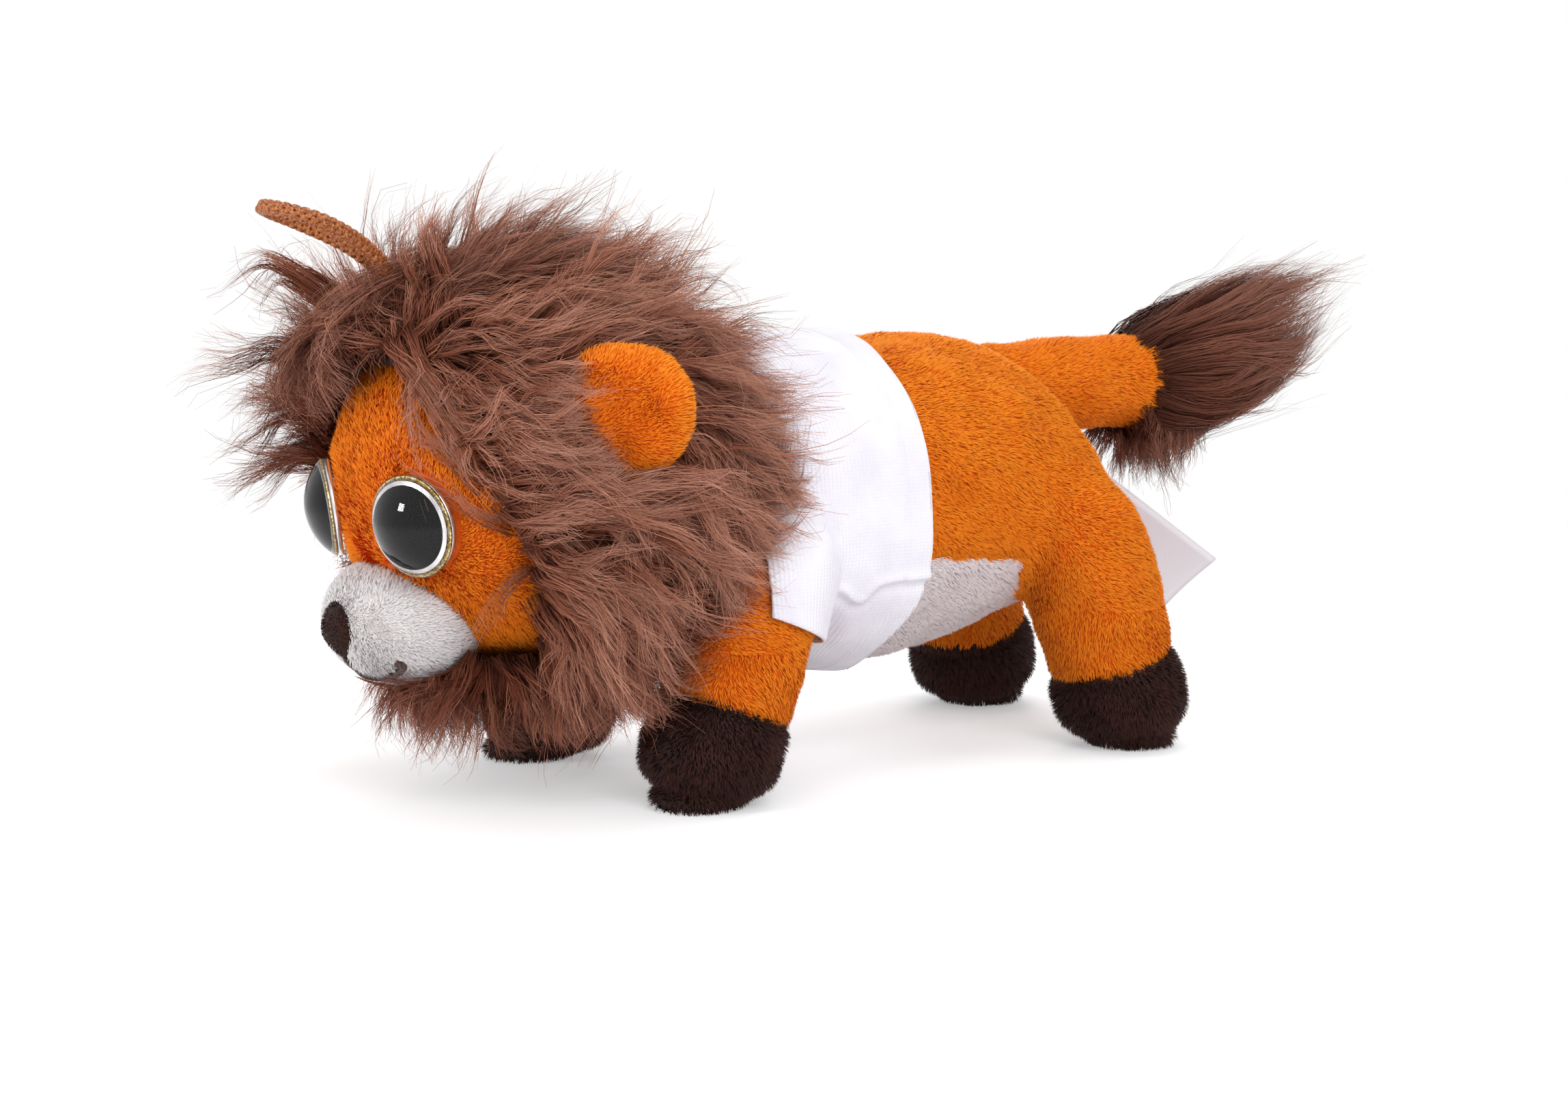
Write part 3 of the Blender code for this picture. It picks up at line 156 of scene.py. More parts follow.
def drift_vector(points, size, seed):
    return np.stack([drift(points, size, seed + part) for part in range(3)], axis=-1)


def smooth_table(rows, count):
    """Even rows on a smooth curve through a table's own rows."""
    rows = np.array(rows, float)
    last = len(rows) - 1
    places = np.linspace(0, last, count)
    index = np.minimum(places.astype(int), last - 1)
    blend = (places - index)[:, None]
    before = rows[np.maximum(index - 1, 0)]
    start = rows[index]
    end = rows[index + 1]
    after = rows[np.minimum(index + 2, last)]
    square = blend ** 2
    cube = blend ** 3
    return (
        (2 * cube - 3 * square + 1) * start
        + (cube - 2 * square + blend) * (end - before) / 2
        + (3 * square - 2 * cube) * end
        + (cube - square) * (after - start) / 2
    )


BODY_ROWS = smooth_table(BODY_STATION_SHARES, 400)


def body_section(y):
    """Half width, middle height and half height of the body at each y."""
    share = (np.asarray(y, float) - BODY_FRONT_Y) / BODY_LENGTH
    width, middle, height = (np.interp(share, BODY_ROWS[:, 0], BODY_ROWS[:, c]) for c in (1, 2, 3))
    return (
        width * BODY_HALF_WIDTH,
        BODY_AXIS_HEIGHT + middle * BODY_HALF_HEIGHT,
        height * BODY_HALF_HEIGHT,
    )


def body_level(points, lift):
    """1 on the body's surface moved out by the lift, less inside, more outside."""
    half_width, middle, half_height = body_section(points[..., 1])
    level = np.hypot(
        points[..., 0] / (half_width + lift + 1e-3),
        (points[..., 2] - middle) / (half_height + lift + 1e-3),
    )
    beyond = (points[..., 1] < BODY_FRONT_Y) | (points[..., 1] > BODY_FRONT_Y + BODY_LENGTH)
    return np.where(beyond, 9.0, level)


def ring_quads(count, sides):
    """Quads between one ring of points and the next."""
    low = np.arange(count - 1)[:, None] * sides
    high = low + sides
    side = np.arange(sides)
    after = (side + 1) % sides
    return np.stack([low + side, low + after, high + after, high + side], axis=-1).reshape(-1, 4)


def tube(rings):
    """A closed mesh through rings of equal length, with a point in the middle of each end."""
    rings = np.asarray(rings)
    count, sides = rings.shape[:2]
    points = np.concatenate([
        rings.reshape(-1, 3),
        rings[0].mean(axis=0)[None],
        rings[-1].mean(axis=0)[None],
    ])
    faces = ring_quads(count, sides).tolist()
    last = (count - 1) * sides
    for side in range(sides):
        after = (side + 1) % sides
        faces.append((after, side, count * sides))
        faces.append((last + side, last + after, count * sides + 1))
    return points, faces


def ring(centre, across, up, half_across, half_up, sides):
    turn = np.arange(sides) * TURN / sides
    return (
        np.asarray(centre)
        + np.outer(np.cos(turn) * half_across, across)
        + np.outer(np.sin(turn) * half_up, up)
    )


def quads_of(faces):
    return np.array([face for face in faces if len(face) == 4])


def facing_out(points, faces):
    """Faces turned so that the closed mesh's volume is positive."""
    corners = [points[faces[:, corner]] for corner in range(faces.shape[1])]
    volume = (corners[0] * np.cross(corners[1], corners[2])).sum()
    if faces.shape[1] == 4:
        volume += (corners[0] * np.cross(corners[2], corners[3])).sum()
    return faces if volume > 0 else faces[:, ::-1]


def egg(centre, size, segments, rings):
    """A fine ellipsoid as points and quads."""
    rows = []
    for step in range(rings + 1):
        tilt = math.pi * (step + 0.02) / (rings + 0.04)
        flat = math.sin(tilt)
        level = centre + Z * size[2] * math.cos(tilt)
        rows.append(ring(level, X, Y, size[0] * flat, size[1] * flat, segments))
    points, faces = tube(rows)
    return points, facing_out(points - centre, quads_of(faces))


def relaxed(points, faces, weights, rounds):
    """Points drawn to the middle of their neighbours, as much as their weights say."""
    pairs = np.concatenate([faces[:, [corner, (corner + 1) % 4]] for corner in range(4)])
    count = np.bincount(pairs[:, 0], minlength=len(points))[:, None]
    for _ in range(rounds):
        near = [np.bincount(pairs[:, 0], points[pairs[:, 1], axis], len(points)) for axis in range(3)]
        points = points + (np.stack(near, axis=-1) / count - points) * weights[:, None] * 0.5
    return points


def open_edges(faces):
    """The edges of a sheet that belong to one face only, as pairs of corners."""
    pairs = np.concatenate([faces[:, [corner, (corner + 1) % 4]] for corner in range(4)])
    size = int(faces.max()) + 1
    key = pairs[:, 0].astype(np.int64) * size + pairs[:, 1]
    back = pairs[:, 1].astype(np.int64) * size + pairs[:, 0]
    return pairs[~np.isin(key, back)]


def thickened(points, faces, depth):
    """A sheet made into closed cloth, with its inside and its cut edges."""
    count = len(points)
    rim = open_edges(faces)
    sides = np.stack([rim[:, 1], rim[:, 0], rim[:, 0] + count, rim[:, 1] + count], axis=-1)
    inner = points - vertex_normals(points, faces) * depth
    return np.concatenate([points, inner]), np.concatenate([faces, faces[:, ::-1] + count, sides])


def vertex_normals(points, faces):
    """Normals of a quad mesh, weighted by area."""
    corners = points[faces]
    across = corners[:, 2] - corners[:, 0]
    along = corners[:, 3] - corners[:, 1]
    each = np.cross(across, along)
    normals = np.zeros_like(points)
    for corner in range(4):
        np.add.at(normals, faces[:, corner], each)
    return unit(normals)


def merged(parts, voxel, relaxing):
    """One skin round all the parts, with their creases relaxed, as points and quads."""
    points = []
    faces = []
    start = 0
    for part_points, part_faces in parts:
        points.append(part_points)
        faces += [tuple(start + corner for corner in face) for face in part_faces]
        start += len(part_points)
    mesh = bpy.data.meshes.new("merging")
    mesh.from_pydata((np.concatenate(points) * MM).tolist(), [], faces)
    work = bpy.data.objects.new("merging", mesh)
    bpy.context.collection.objects.link(work)
    remesh = work.modifiers.new("skin", "REMESH")
    remesh.mode = "VOXEL"
    remesh.voxel_size = voxel * MM
    relax = work.modifiers.new("relax", "SMOOTH")
    relax.factor = 0.5
    relax.iterations = relaxing
    graph = bpy.context.evaluated_depsgraph_get()
    done = work.evaluated_get(graph).to_mesh()
    skin = np.empty(len(done.vertices) * 3, np.float32)
    done.vertices.foreach_get("co", skin)
    quads = np.empty(len(done.loops), np.int32)
    done.loops.foreach_get("vertex_index", quads)
    bpy.data.objects.remove(work, do_unlink=True)
    bpy.data.meshes.remove(mesh)
    return skin.reshape(-1, 3).astype(float) / MM, quads.reshape(-1, 4)


def cut_out(points, faces, keep):
    """The kept faces with their own points."""
    faces = faces[keep]
    used, index = np.unique(faces, return_inverse=True)
    return points[used], index.reshape(faces.shape)


def make_mesh(name, points, faces, uv=None, normals=None):
    """A mesh from millimetre points and equal faces, with a strand map and free normals if given."""
    mesh = bpy.data.meshes.new(name)
    faces = np.asarray(faces, np.int32)
    count, corners = faces.shape
    mesh.vertices.add(len(points))
    mesh.vertices.foreach_set("co", (np.asarray(points) * MM).astype(np.float32).ravel())
    mesh.loops.add(count * corners)
    mesh.loops.foreach_set("vertex_index", faces.ravel())
    mesh.polygons.add(count)
    starts = np.arange(0, count * corners, corners, dtype=np.int32)
    mesh.polygons.foreach_set("loop_start", starts)
    if uv is not None:
        layer = mesh.uv_layers.new(name="OFBake")
        layer.data.foreach_set("uv", np.asarray(uv, np.float32).ravel())
    mesh.update(calc_edges=True)
    mesh.shade_smooth()
    if normals is not None:
        free = mesh.attributes.new("custom_normal", "FLOAT_VECTOR", "POINT")
        free.data.foreach_set("vector", np.asarray(normals, np.float32).ravel())
    return mesh


def add_piece(name, shape, material, body, replaced=(), bend=None):
    """A visible piece on its body, or, where a bend is given, left unattached with its transform baked in.

    Its shape is what make_mesh takes: points and faces, and a strand map and normals for fur.
    """
    mesh = make_mesh(name, *shape)
    piece = bpy.data.objects.new(name, mesh)
    bpy.context.collection.objects.link(piece)
    mesh.materials.append(material)
    if bend is None:
        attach(piece, body)
    else:
        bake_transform(piece)
    if replaced:
        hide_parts(*replaced)
    return piece


def add_skin(name, shape, material, body, node, bend=None):
    """A stuffed cloth skin in place of its node."""
    add_piece(name, shape, material, body, (node,), bend)


def linear(code):
    """A colour written as sRGB hex, turned to linear values."""
    parts = [int(code[place:place + 2], 16) / 255 for place in (1, 3, 5)]
    low = [part / 12.92 for part in parts]
    high = [((part + 0.055) / 1.055) ** 2.4 for part in parts]
    return tuple(a if part <= 0.04045 else b for part, a, b in zip(parts, low, high)) + (1,)


def add_node(tree, kind, inputs=None, stops=None, **settings):
    """A node with its settings, its sockets' values or links, and a ramp's stops."""
    node = tree.nodes.new(kind)
    for key, value in settings.items():
        setattr(node, key, value)
    for key, value in (inputs or {}).items():
        if isinstance(value, bpy.types.NodeSocket):
            tree.links.new(value, node.inputs[key])
        else:
            node.inputs[key].default_value = value
    for index, (place, colour) in enumerate(stops or ()):
        elements = node.color_ramp.elements
        element = elements[index] if index < len(elements) else elements.new(place)
        element.position = place
        element.color = linear(colour) if isinstance(colour, str) else (*[colour] * 3, 1)
    return node


def new_material(name, inputs):
    """A material with one Principled shader."""
    material = bpy.data.materials.new(name)
    material.use_nodes = True
    shader = material.node_tree.nodes["Principled BSDF"]
    for key, value in inputs.items():
        shader.inputs[key].default_value = value
    return material


def dress(material, height, colours=(), bump=None):
    """Colours, a bump or both on a material, from one pattern's height.

    The bump is its strength and its depth in millimetres.
    """
    tree = material.node_tree
    shader = tree.nodes["Principled BSDF"]
    if colours:
        ramp = add_node(tree, "ShaderNodeValToRGB", {"Fac": height}, colours)
        tree.links.new(ramp.outputs["Color"], shader.inputs["Base Color"])
    if bump:
        strength, depth = bump
        relief = add_node(tree, "ShaderNodeBump", {
            "Height": height, "Strength": strength, "Distance": depth * MM,
        })
        tree.links.new(relief.outputs["Normal"], shader.inputs["Normal"])


def mottle(material, grain, detail, colours=(), bump=None):
    """Uneven colours, a fine bump or both, with grains of the given size in millimetres."""
    tree = material.node_tree
    where = add_node(tree, "ShaderNodeTexCoord")
    spots = add_node(tree, "ShaderNodeTexNoise", {
        "Vector": where.outputs["Object"], "Scale": 1 / (grain * MM), "Detail": detail,
    })
    dress(material, spots.outputs["Fac"], colours, bump)


def fibre(name, dark, light, roughness=0.65, gloss=0.25):
    """Polyester fibre in a ramp of painted shade: dark at the root, deep in the pile, and paler to its tip,
    and no two strands quite alike.

    The map runs along the strand in its second direction, and the strand's shade is its first.
    """
    material = new_material(name, {"Roughness": roughness, "Specular IOR Level": gloss})
    tree = material.node_tree
    place = add_node(tree, "ShaderNodeUVMap", uv_map="OFBake")
    parts = add_node(tree, "ShaderNodeSeparateXYZ", {"Vector": place.outputs[0]})
    low = add_node(tree, "ShaderNodeValToRGB", {"Fac": parts.outputs["Y"]}, dark)
    high = add_node(tree, "ShaderNodeValToRGB", {"Fac": parts.outputs["Y"]}, light)
    mix = add_node(
        tree, "ShaderNodeMix",
        {0: parts.outputs["X"], 6: low.outputs["Color"], 7: high.outputs["Color"]},
        data_type="RGBA",
    )
    tree.links.new(mix.outputs[2], tree.nodes["Principled BSDF"].inputs["Base Color"])
    return material


def backing(name, colour, shade, grain):
    """Knitted ground of the pile: matte cloth with a little uneven colour and a fine bump."""
    material = new_material(name, {
        "Roughness": 0.9, "Specular IOR Level": 0.15, "Sheen Weight": 0.2,
    })
    mottle(material, grain, 3.0, ((0.35, shade), (0.65, colour)), (0.4, 0.3))
    return material


# Each pile's two ramps run from a root colour darkened as painted shade, deep in the pile, to a paler tip
ORANGE_PILE = fibre(
    "orange_plush_pile",
    ((0.0, "#DC5E08"), (0.5, "#F07010"), (1.0, "#F88420")),
    ((0.0, "#EA6C10"), (0.5, "#FF881C"), (1.0, "#FFA436")),
    gloss=0.05,
)
BROWN_PILE = fibre(
    "brown_plush_pile",
    ((0.0, "#180806"), (0.5, "#260F0A"), (1.0, "#381910")),
    ((0.0, "#20100A"), (0.5, "#3A1A12"), (1.0, "#573024")),
)
WHITE_PILE = fibre(
    "white_plush_pile",
    ((0.0, "#E2DBDC"), (0.5, "#EDE7E8"), (1.0, "#F4F0F1")),
    ((0.0, "#EAE4E5"), (0.5, "#F6F2F3"), (1.0, "#FCFAFA")),
)
BELLY_PILE = fibre(
    "belly_plush_pile",
    ((0.0, "#D8C8C8"), (0.5, "#E6D6D6"), (1.0, "#EEE0E0")),
    ((0.0, "#ECDEDF"), (0.5, "#F8ECED"), (1.0, "#FCF4F4")),
)
MANE_PILE = fibre(
    "long_mane_pile",
    ((0.0, "#38190F"), (0.4, "#6C3726"), (1.0, "#8B5441")),
    ((0.0, "#502819"), (0.4, "#A0644E"), (1.0, "#D29C86")),
    roughness=0.6, gloss=0.05,
)
TUFT_PILE = fibre(
    "long_tuft_pile",
    ((0.0, "#3A1E16"), (0.4, "#653A2C"), (1.0, "#7E4D3D")),
    ((0.0, "#4E2B20"), (0.4, "#875443"), (1.0, "#B0806E")),
    roughness=0.6, gloss=0.05,
)
ORANGE_GROUND = backing("orange_plush_ground", "#DE5E06", "#D05604", 0.8)
BROWN_GROUND = backing("brown_plush_ground", "#2A120C", "#1C0A06", 0.8)
WHITE_GROUND = backing("white_plush_ground", "#E6E1DF", "#D8D2D0", 0.8)
BELLY_GROUND = backing("belly_plush_ground", "#E2D4D2", "#D4C6C4", 0.8)
MANE_GROUND = backing("long_mane_ground", "#573024", "#43241A", 1.2)
FILLING = backing("polyester_filling", "#E4E2DC", "#CFCDC6", 1.5)


def blades(paths, out, width, roll, shade):
    """Short pointed blades, each a quad and a tip, lit as the surface that they stand on."""
    count = len(paths)
    tangent = unit(paths[:, 2] - paths[:, 0])
    side = unit(np.cross(tangent, out))
    side = side * np.cos(roll)[:, None] + np.cross(side, tangent) * np.sin(roll)[:, None]
    half = side * (width / 2)[:, None]
    points = np.stack([
        paths[:, 0] - half, paths[:, 0] + half,
        paths[:, 1] - half * BLADE_MIDDLE_WIDTH_SHARE, paths[:, 1] + half * BLADE_MIDDLE_WIDTH_SHARE,
        paths[:, 2],
    ], axis=1)
    first = np.arange(count) * 5
    faces = np.stack([
        np.stack([first, first + 1, first + 3], axis=-1),
        np.stack([first, first + 3, first + 2], axis=-1),
        np.stack([first + 2, first + 3, first + 4], axis=-1),
    ], axis=1).reshape(-1, 3)
    half_way = BLADE_MIDDLE_SHARE
    along = np.array((0, 0, half_way, 0, half_way, half_way, half_way, half_way, 1.0))
    length = np.broadcast_to(along, (count, 9))
    tone = np.broadcast_to(shade[:, None], (count, 9))
    uv = np.clip(np.stack([tone, length], axis=-1), 0.01, 0.99)
    normals = np.repeat(unit(out + tangent * 0.25)[:, None], 5, axis=1)
    return points.reshape(-1, 3), faces, uv, normals.reshape(-1, 3)


STRAND_TIP_SHARE = 0.2


def ribbons(paths, outward, width, roll, shade):
    """Flat strands along the paths, lit as if they were round: points, quads, map and normals."""
    strands, steps = paths.shape[:2]
    tangent = unit(np.gradient(paths, axis=1))
    side = unit(np.cross(tangent, outward))
    up = np.cross(side, tangent)
    turned = side * np.cos(roll)[:, None, None] + up * np.sin(roll)[:, None, None]
    along = np.linspace(0, 1, steps)
    half = (np.outer(width, 1 - (1 - STRAND_TIP_SHARE) * along ** 1.5) / 2)[..., None]
    edges = np.stack([paths - turned * half, paths + turned * half], axis=2)
    face = unit(outward - tangent * (outward * tangent).sum(axis=-1, keepdims=True))
    lean = side * np.sin(roll * 1.3)[:, None, None] * 0.6
    normals = unit(np.stack([face + lean - side * 0.45, face + lean + side * 0.45], axis=2))
    first = (np.arange(strands)[:, None] * steps + np.arange(steps - 1)) * 2
    quads = np.stack([first, first + 1, first + 3, first + 2], axis=-1).reshape(-1, 4)
    low = np.broadcast_to(along[:-1], (strands, steps - 1))
    high = np.broadcast_to(along[1:], (strands, steps - 1))
    length = np.stack([low, low, high, high], axis=-1)
    tone = np.broadcast_to(shade[:, None, None], length.shape)
    uv = np.clip(np.stack([tone, length], axis=-1), 0.01, 0.99)
    return edges.reshape(-1, 3), quads, uv, normals.reshape(-1, 3)


def scatter(points, faces, per_square, rng):
    """Random places on a quad mesh: points and normals, at a density per square millimetre."""
    normals = vertex_normals(points, faces)
    triangles = np.concatenate([faces[:, [0, 1, 2]], faces[:, [0, 2, 3]]])
    a, b, c = (points[triangles[:, corner]] for corner in range(3))
    areas = np.linalg.norm(np.cross(b - a, c - a), axis=1) / 2
    total = areas.sum()
    count = int(total * per_square)
    pick = np.searchsorted(np.cumsum(areas) / total, rng.random(count))
    pick = np.minimum(pick, len(triangles) - 1)
    first = np.sqrt(rng.random(count))[:, None]
    second = rng.random(count)[:, None]
    weights = (1 - first, first * (1 - second), first * second)
    places = sum(w * points[triangles[pick, k]] for k, w in enumerate(weights))
    ways = unit(sum(w * normals[triangles[pick, k]] for k, w in enumerate(weights)))
    return places, ways


# Short pile. The real fibres are some 0.02 mm thick, so a blade stands for a few dozen of them.
PILE_LENGTH = 1.2
PAW_PILE_LENGTH = 1.6
PILE_WIDTH = 0.16
PILE_DENSITY = 16.0
PILE_STAND = 0.75
PILE_LOCK = 0.9
PILE_FOOT = 0.15
BLADE_MIDDLE_SHARE = 0.55
BLADE_MIDDLE_WIDTH_SHARE = 0.85


def short_pile(name, points, faces, nap, material, body, slot, seed,
               length=PILE_LENGTH, keep=None, bend=None, lean=0.95, density=1.0, tone=None):
    """Blades of short pile on a skin, leaning with the nap and gathered in small locks."""
    rng = np.random.default_rng(seed)
    roots, out = scatter(points, faces, PILE_DENSITY * density, rng)
    if keep is not None:
        kept = keep(roots)
        roots = roots[kept]
        out = out[kept]
    count = len(roots)
    way = unit(nap(roots)) + drift_vector(roots, 10, seed + 1) * 0.22
    way = unit(way - out * (way * out).sum(axis=1, keepdims=True))
    tilt = lean + 0.1 * drift(roots, 6, seed + 5) + rng.normal(0, 0.1, count)
    tilt = np.clip(tilt, 0.1, 1.3)[:, None]
    start = out * np.cos(tilt * 0.75) + way * np.sin(tilt * 0.75)
    end = out * np.cos(tilt * 1.15) + way * np.sin(tilt * 1.15)
    start = unit(start + rng.normal(0, 0.11, (count, 3)))
    end = unit(end + rng.normal(0, 0.15, (count, 3)))
    size = length * (0.85 + 0.25 * rng.random(count) + 0.08 * drift(roots, 4, seed + 7))[:, None]
    foot = roots - out * PILE_FOOT
    middle = roots + start * size * 0.5
    tip = middle + end * size * 0.5
    # Tips of one lock lean to the lock's middle
    cell = np.floor(roots / PILE_LOCK + drift_vector(roots, 3, seed + 9) * 0.5)
    centre = (cell + 0.5) * PILE_LOCK
    pull = centre - roots
    pull = pull - out * (pull * out).sum(axis=1, keepdims=True)
    tip = tip + pull * 0.1
    paths = np.stack([foot, middle, tip], axis=1)
    key = np.sin(cell @ np.array((12.9898, 78.233, 37.719))) * 43758.5453
    shade = 0.5 + 0.13 * drift(roots, 8, seed + 11) + 0.2 * (key - np.floor(key) - 0.5)
    shade = shade + rng.normal(0, 0.08, count)
    if tone is not None:
        shade = shade + tone(roots)
    width = PILE_WIDTH * rng.uniform(0.75, 1.2, count) / math.sqrt(density)
    roll = rng.normal(0, 0.5, count)
    add_piece(name, blades(paths, out, width, roll, np.clip(shade, 0, 1)), material, body, (), bend)


# Camera first: where the photograph was taken from
CAMERA_PLACE = (0.3656, -0.262, 0.090)
CAMERA_TURN = math.radians(56.4)
CAMERA_TILT = math.radians(7.6)
CAMERA_LENS = 67.85


def add_camera():
    data = bpy.data.cameras.new("camera")
    data.sensor_width = 36
    data.sensor_fit = "HORIZONTAL"
    data.lens = CAMERA_LENS
    data.clip_start = 0.01
    camera = bpy.data.objects.new("camera", data)
    camera.location = CAMERA_PLACE
    look = Vector((
        -math.sin(CAMERA_TURN) * math.cos(CAMERA_TILT),
        math.cos(CAMERA_TURN) * math.cos(CAMERA_TILT),
        -math.sin(CAMERA_TILT),
    ))
    camera.rotation_euler = look.to_track_quat("-Z", "Y").to_euler()
    bpy.context.collection.objects.link(camera)
    bpy.context.scene.camera = camera


add_camera()


# Hanging loop: a braided cord, out of the crown and back into it
LOOP_DIAMETER = 2.3
LOOP_HALF_ROUTE = (
    (1.6, -82.6, 72.35), (1.9, -85.6, 75.6), (3.1, -88.6, 77.9), (4.6, -92.3, 79.9),
    (5.3, -96.0, 81.5), (4.1, -99.3, 82.6), (1.6, -101.0, 83.1),
)
LOOP_STRANDS = 4
LOOP_LAY = 5.2
LOOP_YARN = 0.36
LOOP_WEAVE = 0.13
LOOP_CORE_INSET = 0.5


def loop_route():
    half = np.array(LOOP_HALF_ROUTE)
    other = half[::-1] * np.array((-1, 1, 1))
    return smooth_table(np.concatenate([half, other]), 400)


def even_route(route, step):
    """The route's points at even distances."""
    lengths = np.concatenate([[0], np.cumsum(np.linalg.norm(np.diff(route, axis=0), axis=1))])
    places = np.linspace(0, lengths[-1], int(lengths[-1] / step) + 1)
    return np.stack([np.interp(places, lengths, route[:, c]) for c in range(3)], axis=1), lengths[-1]


def carried_frame(line):
    """Two directions square to a line, carried along it without twisting."""
    tangent = unit(np.gradient(line, axis=0))
    side = np.empty_like(line)
    side[0] = unit(np.cross(tangent[0], Y if abs(tangent[0][1]) < 0.9 else X))
    for index in range(1, len(line)):
        carried = side[index - 1] - tangent[index] * (side[index - 1] @ tangent[index])
        side[index] = carried / np.linalg.norm(carried)
    return side, np.cross(tangent, side)


CLOSED_RADIUS = 0.02


def round_tubes(lines, radius, sides):
    """Closed round tubes along several lines, as one set of points and quads."""
    points = []
    quads = []
    start = 0
    turn = np.arange(sides) * TURN / sides
    for line in lines:
        side, up = carried_frame(line)
        offsets = np.cos(turn)[None, :, None] * side[:, None] + np.sin(turn)[None, :, None] * up[:, None]
        # The ring at each end draws in to close it
        thick = np.full(len(line), radius)
        thick[[0, -1]] = CLOSED_RADIUS
        own = (line[:, None] + offsets * thick[:, None, None]).reshape(-1, 3)
        points.append(own)
        quads.append(facing_out(own - own.mean(axis=0), ring_quads(len(line), sides)) + start)
        start += len(own)
    return np.concatenate(points), np.concatenate(quads)


def build_loop():
    """Eight yarns plaited over and under each other round the cord's route."""
    route, length = even_route(loop_route(), 0.16)
    side, up = carried_frame(route)
    places = np.linspace(0, length, len(route))
    lines = []
    for strand in range(LOOP_STRANDS):
        for hand in (1, -1):
            phase = TURN * strand / LOOP_STRANDS + (0 if hand == 1 else TURN / LOOP_STRANDS / 2)
            angle = hand * TURN * places / LOOP_LAY + phase
            weave = np.cos(LOOP_STRANDS * TURN * places / LOOP_LAY + hand * math.pi / 2)
            reach = LOOP_DIAMETER / 2 - LOOP_YARN - LOOP_WEAVE + LOOP_WEAVE * weave * hand
            way = side * np.cos(angle)[:, None] + up * np.sin(angle)[:, None]
            lines.append(route + way * reach[:, None])
    # Filament polyester: its yarns shine a little, and their fibres show as light and dark grains
    yarn = new_material("polyester_braid", {"Roughness": 0.42, "Specular IOR Level": 0.45})
    mottle(yarn, 0.3, 2.0, ((0.3, "#6E3212"), (0.5, "#9C5424"), (0.7, "#C98347")), (0.6, 0.12))
    braid = round_tubes(lines, LOOP_YARN, 8)
    piece = add_piece("loop_braid", braid, yarn, "loop", ("hanging_loop",))
    # A dark core under the yarns: painted shade that shows in the gaps between them
    core = round_tubes([route], LOOP_DIAMETER / 2 - LOOP_CORE_INSET, 12)
    dark = backing("braid_core_painted_shade", "#5A2810", "#401A0A", 0.4)
    add_piece("loop_core", core, dark, "loop")


build_loop()


class Leg:
    """One leg's axis and radii, from its joint down to its flat sole."""

    def __init__(self, name, body, pivot, sole, top_radius):
        self.name = name
        self.body = body
        self.pivot = np.array(pivot)
        self.sole = np.array(sole)
        self.top_radius = top_radius
        self.length = np.linalg.norm(self.sole - self.pivot)
        self.along = unit(self.sole - self.pivot)
        self.across = unit(X - self.along * (X @ self.along))
        self.fore_aft = np.cross(self.along, self.across)
        rows = [(share, top_radius + (PAW_RADIUS - top_radius) * rise)
                for share, rise in LEG_RADIUS_SHARES]
        rows += [(share, PAW_RADIUS * value) for share, value in PAW_RADIUS_SHARES[1:]]
        self.rows = smooth_table(rows, 60)

    def radius(self, share):
        return np.interp(share, self.rows[:, 0], self.rows[:, 1])

    def place(self, points):
        """Each point's share along the leg, its distance from the axis and its way off the axis."""
        out = points - self.pivot
        reach = out @ self.along
        off = out - reach[..., None] * self.along
        return reach / self.length, np.linalg.norm(off, axis=-1), off

    def rings(self, lift=0.0, last=1.0):
        """Rings from the round top down to a share of the leg, moved out by the lift."""
        result = []
        top = self.top_radius + lift
        for step in range(1, 8):
            turn = math.pi / 2 * step / 8
            centre = self.pivot - self.along * (top * math.cos(turn))
            flat = top * math.sin(turn)
            result.append(ring(centre, self.across, self.fore_aft, flat, flat, LEG_SIDES))
        for share in np.linspace(0, last, 30):
            level = smoothstep(share, LEG_UPRIGHT_SHARE, 1)
            across = unit(self.across * (1 - level) + X * level)
            hint = -Y if self.fore_aft[1] < 0 else Y
            fore_aft = unit(self.fore_aft * (1 - level) + hint * level)
            centre = self.pivot + self.along * (self.length * share)
            radius = self.radius(share) + lift
            result.append(ring(centre, across, fore_aft, radius, radius, LEG_SIDES))
        return result


ALL_LEGS = [Leg(*row) for row in LEGS]


def body_rings(ys, lift):
    """Rings round the body at each y, moved out by the lift."""
    result = []
    for y in ys:
        half_width, middle, half_height = body_section(y)
        centre = np.array((0.0, y, float(middle)))
        result.append(ring(centre, X, Z, half_width + lift, half_height + lift, BODY_SIDES))
    return result


BODY_SEAM_SLOPE = -0.10
BODY_SEAM_HEIGHT = 30.9
BELLY_FRONT_Y = -36
BELLY_BACK_Y = 29
SKIN_UNDER_SHIRT = 7
SKIN_VOXEL = 0.75
SKIN_FLOOR = 0.25


def belly_seam(points):
    """Height of the seam between the orange back and the pale belly."""
    return BODY_SEAM_HEIGHT + BODY_SEAM_SLOPE * np.clip(points[..., 1], -8, 40)


